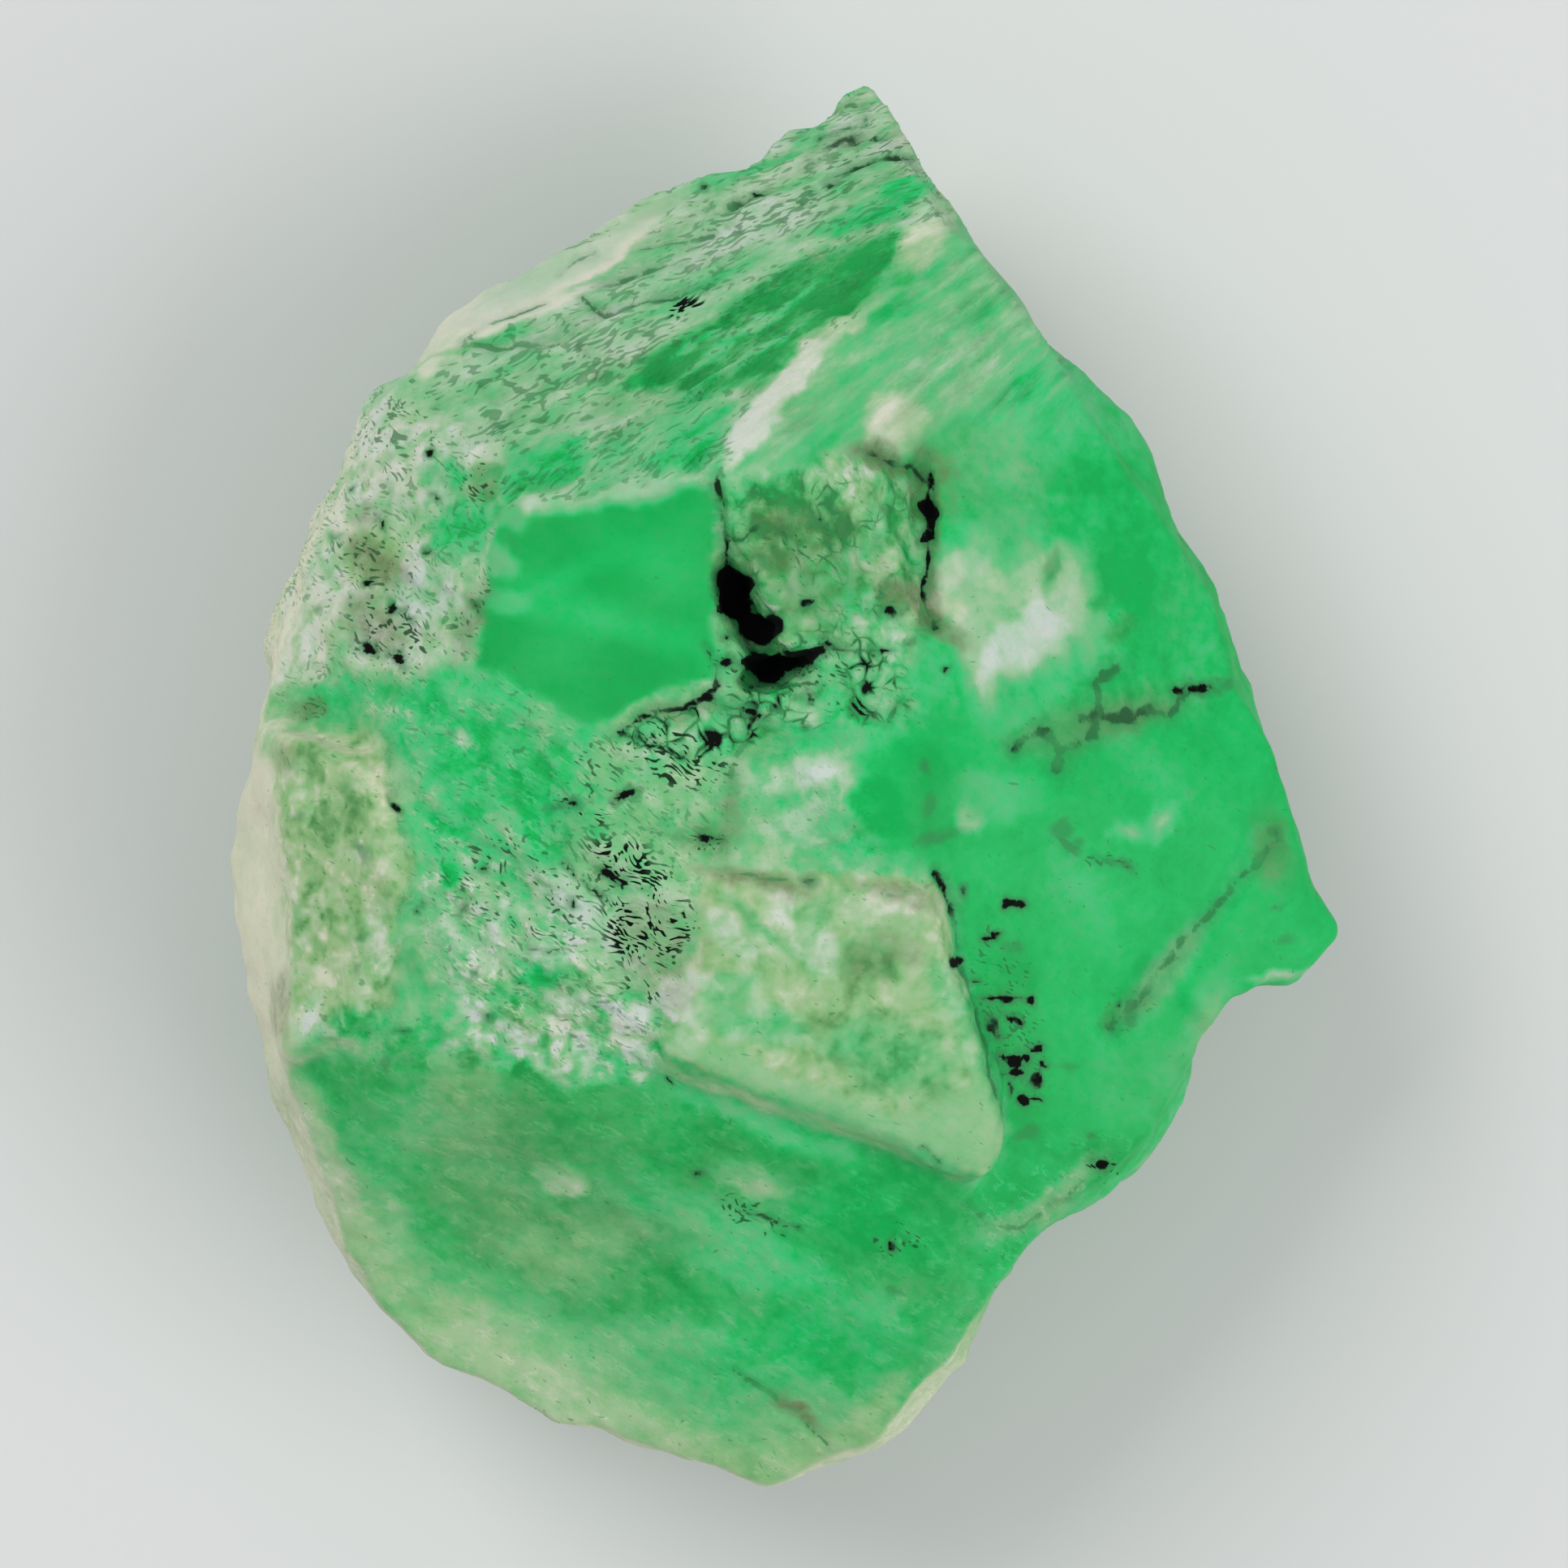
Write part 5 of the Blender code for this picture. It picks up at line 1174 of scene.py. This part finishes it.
def stoneMaterial():
    print("stone material")
    material = bpy.data.materials.new("milky emerald")
    material.use_nodes = True
    tree = material.node_tree
    tree.nodes.clear()
    wire = Wire(tree)
    place = wire.node("ShaderNodeTexCoord", output="Object").scaled(1 / mm)
    x, y, z = (wire.node("ShaderNodeSeparateXYZ", None, {0: place}, i) for i in range(3))
    fibre, grain, flow, pits, curd, vein, black, shiftX, shiftY, near = (wire.attribute(name) for name in (
        "fibre", "grain", "flow", "pits", "curd", "vein", "black", "shiftX", "shiftY", "near"))

    fanX, fanY = stone["fanMiddle"][0] - x, stone["fanMiddle"][1] - y
    angle = wire.math("ARCTAN2", fanY, fanX)
    reach = wire.math("SQRT", fanX * fanX + fanY * fanY)
    along, across = turned(x, y, stone["flowHeading"])

    # a stretched pattern, in the fan or along the flow; shifts bend it
    def stretched(name, first, second, shifts=()):
        parts = [part * often for part, often in zip((first, second, z), stone[name])]
        for i, (shift, amount) in enumerate(zip((shiftX, shiftY), shifts)):
            parts[i] = parts[i] + shift * amount
        return wire.join(*parts)

    streaks = stretched("streaks", angle, reach).noise(1, 3, 0.65) - 0.5
    longStreaks = stretched("longStreaks", angle, reach).noise(1, 1) - 0.5
    flakes = stretched("flakes", along, across).noise(1, 3, 0.65) - 0.5
    fanPits = stretched("fanPits", angle, reach, (4, 1.8)).noise(1)
    flowPits = stretched("flowPits", along, across, (2.6, 6)).noise(1)
    grains = place.noise(stone["grains"], 3, 0.65) - 0.5
    patchy = place.noise(stone["patchy"]) - 0.5

    # pits show where their noise is over a level that sinks as they crowd
    pitNoise = fanPits * fibre + flowPits * (1 - fibre)
    pitDepth = pitNoise + pits * (patchy * 0.35 + 0.2) - 0.8
    pit = pitDepth.rise(-0.02, 0.08)
    blackPit = pitDepth.rise(0.04, 0.09) * black

    # dark gaps where rounded lumps meet
    lump = place.moved(shiftX, shiftY).cellBorders(stone["lumps"])
    gap = vein * (patchy * 0.45 + 0.19) - 0.06 - lump
    seam = gap.rise(-0.03, 0.08)

    # tone runs from deep green to white, warmth from plain to creamy
    # painted shading of the round lumps: paler in their middles, darker and warmer towards their rims
    lumpShading = vein.larger(curd * patchy.rise(-0.1, 0.15) * 0.7) * (lump.rise(0, 0.4) - 0.6)
    threads = (0.45 - wire.math("ABSOLUTE", flakes) * 9.0).rise(0, 0.35) * patchy.rise(0, 0.14) * flow
    share = stone["toneShare"]
    tone = wire.attribute("tone") + fibre * (streaks * share["streaks"] + longStreaks * share["longStreaks"])
    tone = tone + flow * flakes * share["flakes"] + threads * share["threads"]
    tone = tone + grains * (grain * share["grains"] + share["plainGrains"]) + lumpShading * share["lumps"]
    share = stone["warmthShare"]
    warmth = wire.attribute("warmth") + grains * share["grains"] - lumpShading * share["lumps"]
    stain = wire.attribute("stain") * (0.8 + grains * 2.2)
    colour = tone.ramp(stone["coldTones"]).mix(tone.ramp(stone["warmTones"]), warmth)
    colour = colour.mix(toLinear(stone["stainTone"]), stain)

    # cracks: a dark line with a softer shade along it
    core = wire.attribute("across") + grains * 2.8 + patchy * 1.8
    line = 1 - core.rise(0.3, 1.3)
    crack = near.rise(0.45, 0.95) * line
    crackShade = (near * (1 - core.rise(0.8, 4.5)) * 0.5).larger(near.rise(0, 0.5) * line * 0.8)

    # painted shade: black inside the holes and pockets, and a dark halo round their lips
    hole = (wire.attribute("hole") + grains * 0.35).rise(-0.03, 0.03)
    holeLipShade = (wire.attribute("hole") + grains * 0.8).rise(-0.32, 0.02) * 0.75
    spot = wire.attribute("spot") + grains * 0.5
    shaded = (pit * (black * 0.2 + 0.55)).larger(crackShade).larger(seam).larger(spot).larger(holeLipShade)
    dark = crack.larger(hole).larger(blackPit).larger(gap.rise(0.08, 0.14) * vein.rise(0.5, 0.9))
    dark = dark.larger(spot.rise(0.68, 0.93))
    colour = colour.mix(toLinear(stone["pitTone"]), shaded).mix(toLinear(stone["darkTone"]), dark)

    clear, frosted = stone["roughness"]
    roughness = (tone.rise(0.0, 0.9) * (frosted - clear) + clear).larger(dark)
    share = stone["bumpShare"]
    height = streaks * fibre * share["streaks"] + grains * (grain * share["grains"] + share["plainGrains"])
    height = height + flakes * flow * share["flakes"]
    bump = wire.node("ShaderNodeBump", None, {
        "Strength": stone["bumpStrength"], "Distance": stone["bumpDepth"] * mm, "Height": height})
    shader = wire.node("ShaderNodeBsdfPrincipled", None, {
        "Base Color": colour, "Roughness": roughness, "Normal": bump, "IOR": stone["bend"],
        "Subsurface Weight": stone["subsurface"], "Subsurface Radius": stone["scatterReach"],
        "Subsurface Scale": stone["scatterDepth"] * mm, "Specular IOR Level": stone["gloss"],
    })
    wire.node("ShaderNodeOutputMaterial", None, {"Surface": shader})
    return material


def addStone():
    obj = makeSkin()
    carveSkin(obj)
    obj.data.materials.append(stoneMaterial())
    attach(obj, "root")
    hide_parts("emerald")
    return obj


studio = {
    "floorWidth": 0.9,
    "floorTone": (0.62, 0.62, 0.6, 1),
    "floorRoughness": 0.8,
    # each lamp's power, width and place
    "key": (1.85, 0.35, (-0.3, 0.28, 0.42)),
    "fill": (1.95, 0.5, (0.4, -0.2, 0.35)),
    "lampTarget": (0, 0, 0.01),
    "worldTone": (0.9, 0.95, 1, 1),
    "worldStrength": 0.55,
    "girthHeight": 0.0105,  # where the frame is as wide as frameWidth
    "cameraHeight": 0.35,
    "frameWidth": 0.05603,
    "sensor": 36,
}


def addFloor():
    bm = bmesh.new()
    bmesh.ops.create_grid(bm, x_segments=1, y_segments=1, size=studio["floorWidth"] / 2)
    mesh = bpy.data.meshes.new("floor")
    bm.to_mesh(mesh)
    bm.free()
    floor = bpy.data.objects.new("floor", mesh)
    bpy.context.scene.collection.objects.link(floor)
    material = bpy.data.materials.new("pale floor")
    material.use_nodes = True
    shader = material.node_tree.nodes["Principled BSDF"]
    shader.inputs["Base Color"].default_value = studio["floorTone"]
    shader.inputs["Roughness"].default_value = studio["floorRoughness"]
    mesh.materials.append(material)


def addLight(name):
    lamp = bpy.data.lights.new(name, "AREA")
    lamp.energy, lamp.size, place = studio[name]
    obj = bpy.data.objects.new(name, lamp)
    obj.location = place
    obj.rotation_euler = (Vector(studio["lampTarget"]) - Vector(place)).to_track_quat("-Z", "Y").to_euler()
    bpy.context.scene.collection.objects.link(obj)


def addStudio():
    print("studio")
    addFloor()
    addLight("key")
    addLight("fill")
    scene = bpy.context.scene
    scene.view_settings.view_transform = "Standard"
    world = bpy.data.worlds.new("studio")
    world.use_nodes = True
    sky = world.node_tree.nodes["Background"]
    sky.inputs["Color"].default_value = studio["worldTone"]
    sky.inputs["Strength"].default_value = studio["worldStrength"]
    scene.world = world
    camera = bpy.data.cameras.new("camera")
    camera.sensor_width = studio["sensor"]
    camera.lens = studio["sensor"] * studio["cameraHeight"] / studio["frameWidth"]
    camera.clip_start, camera.clip_end = 0.01, 10
    obj = bpy.data.objects.new("camera", camera)
    obj.location = (0, 0, studio["girthHeight"] + studio["cameraHeight"])
    scene.collection.objects.link(obj)
    scene.camera = obj


addStone()
addStudio()
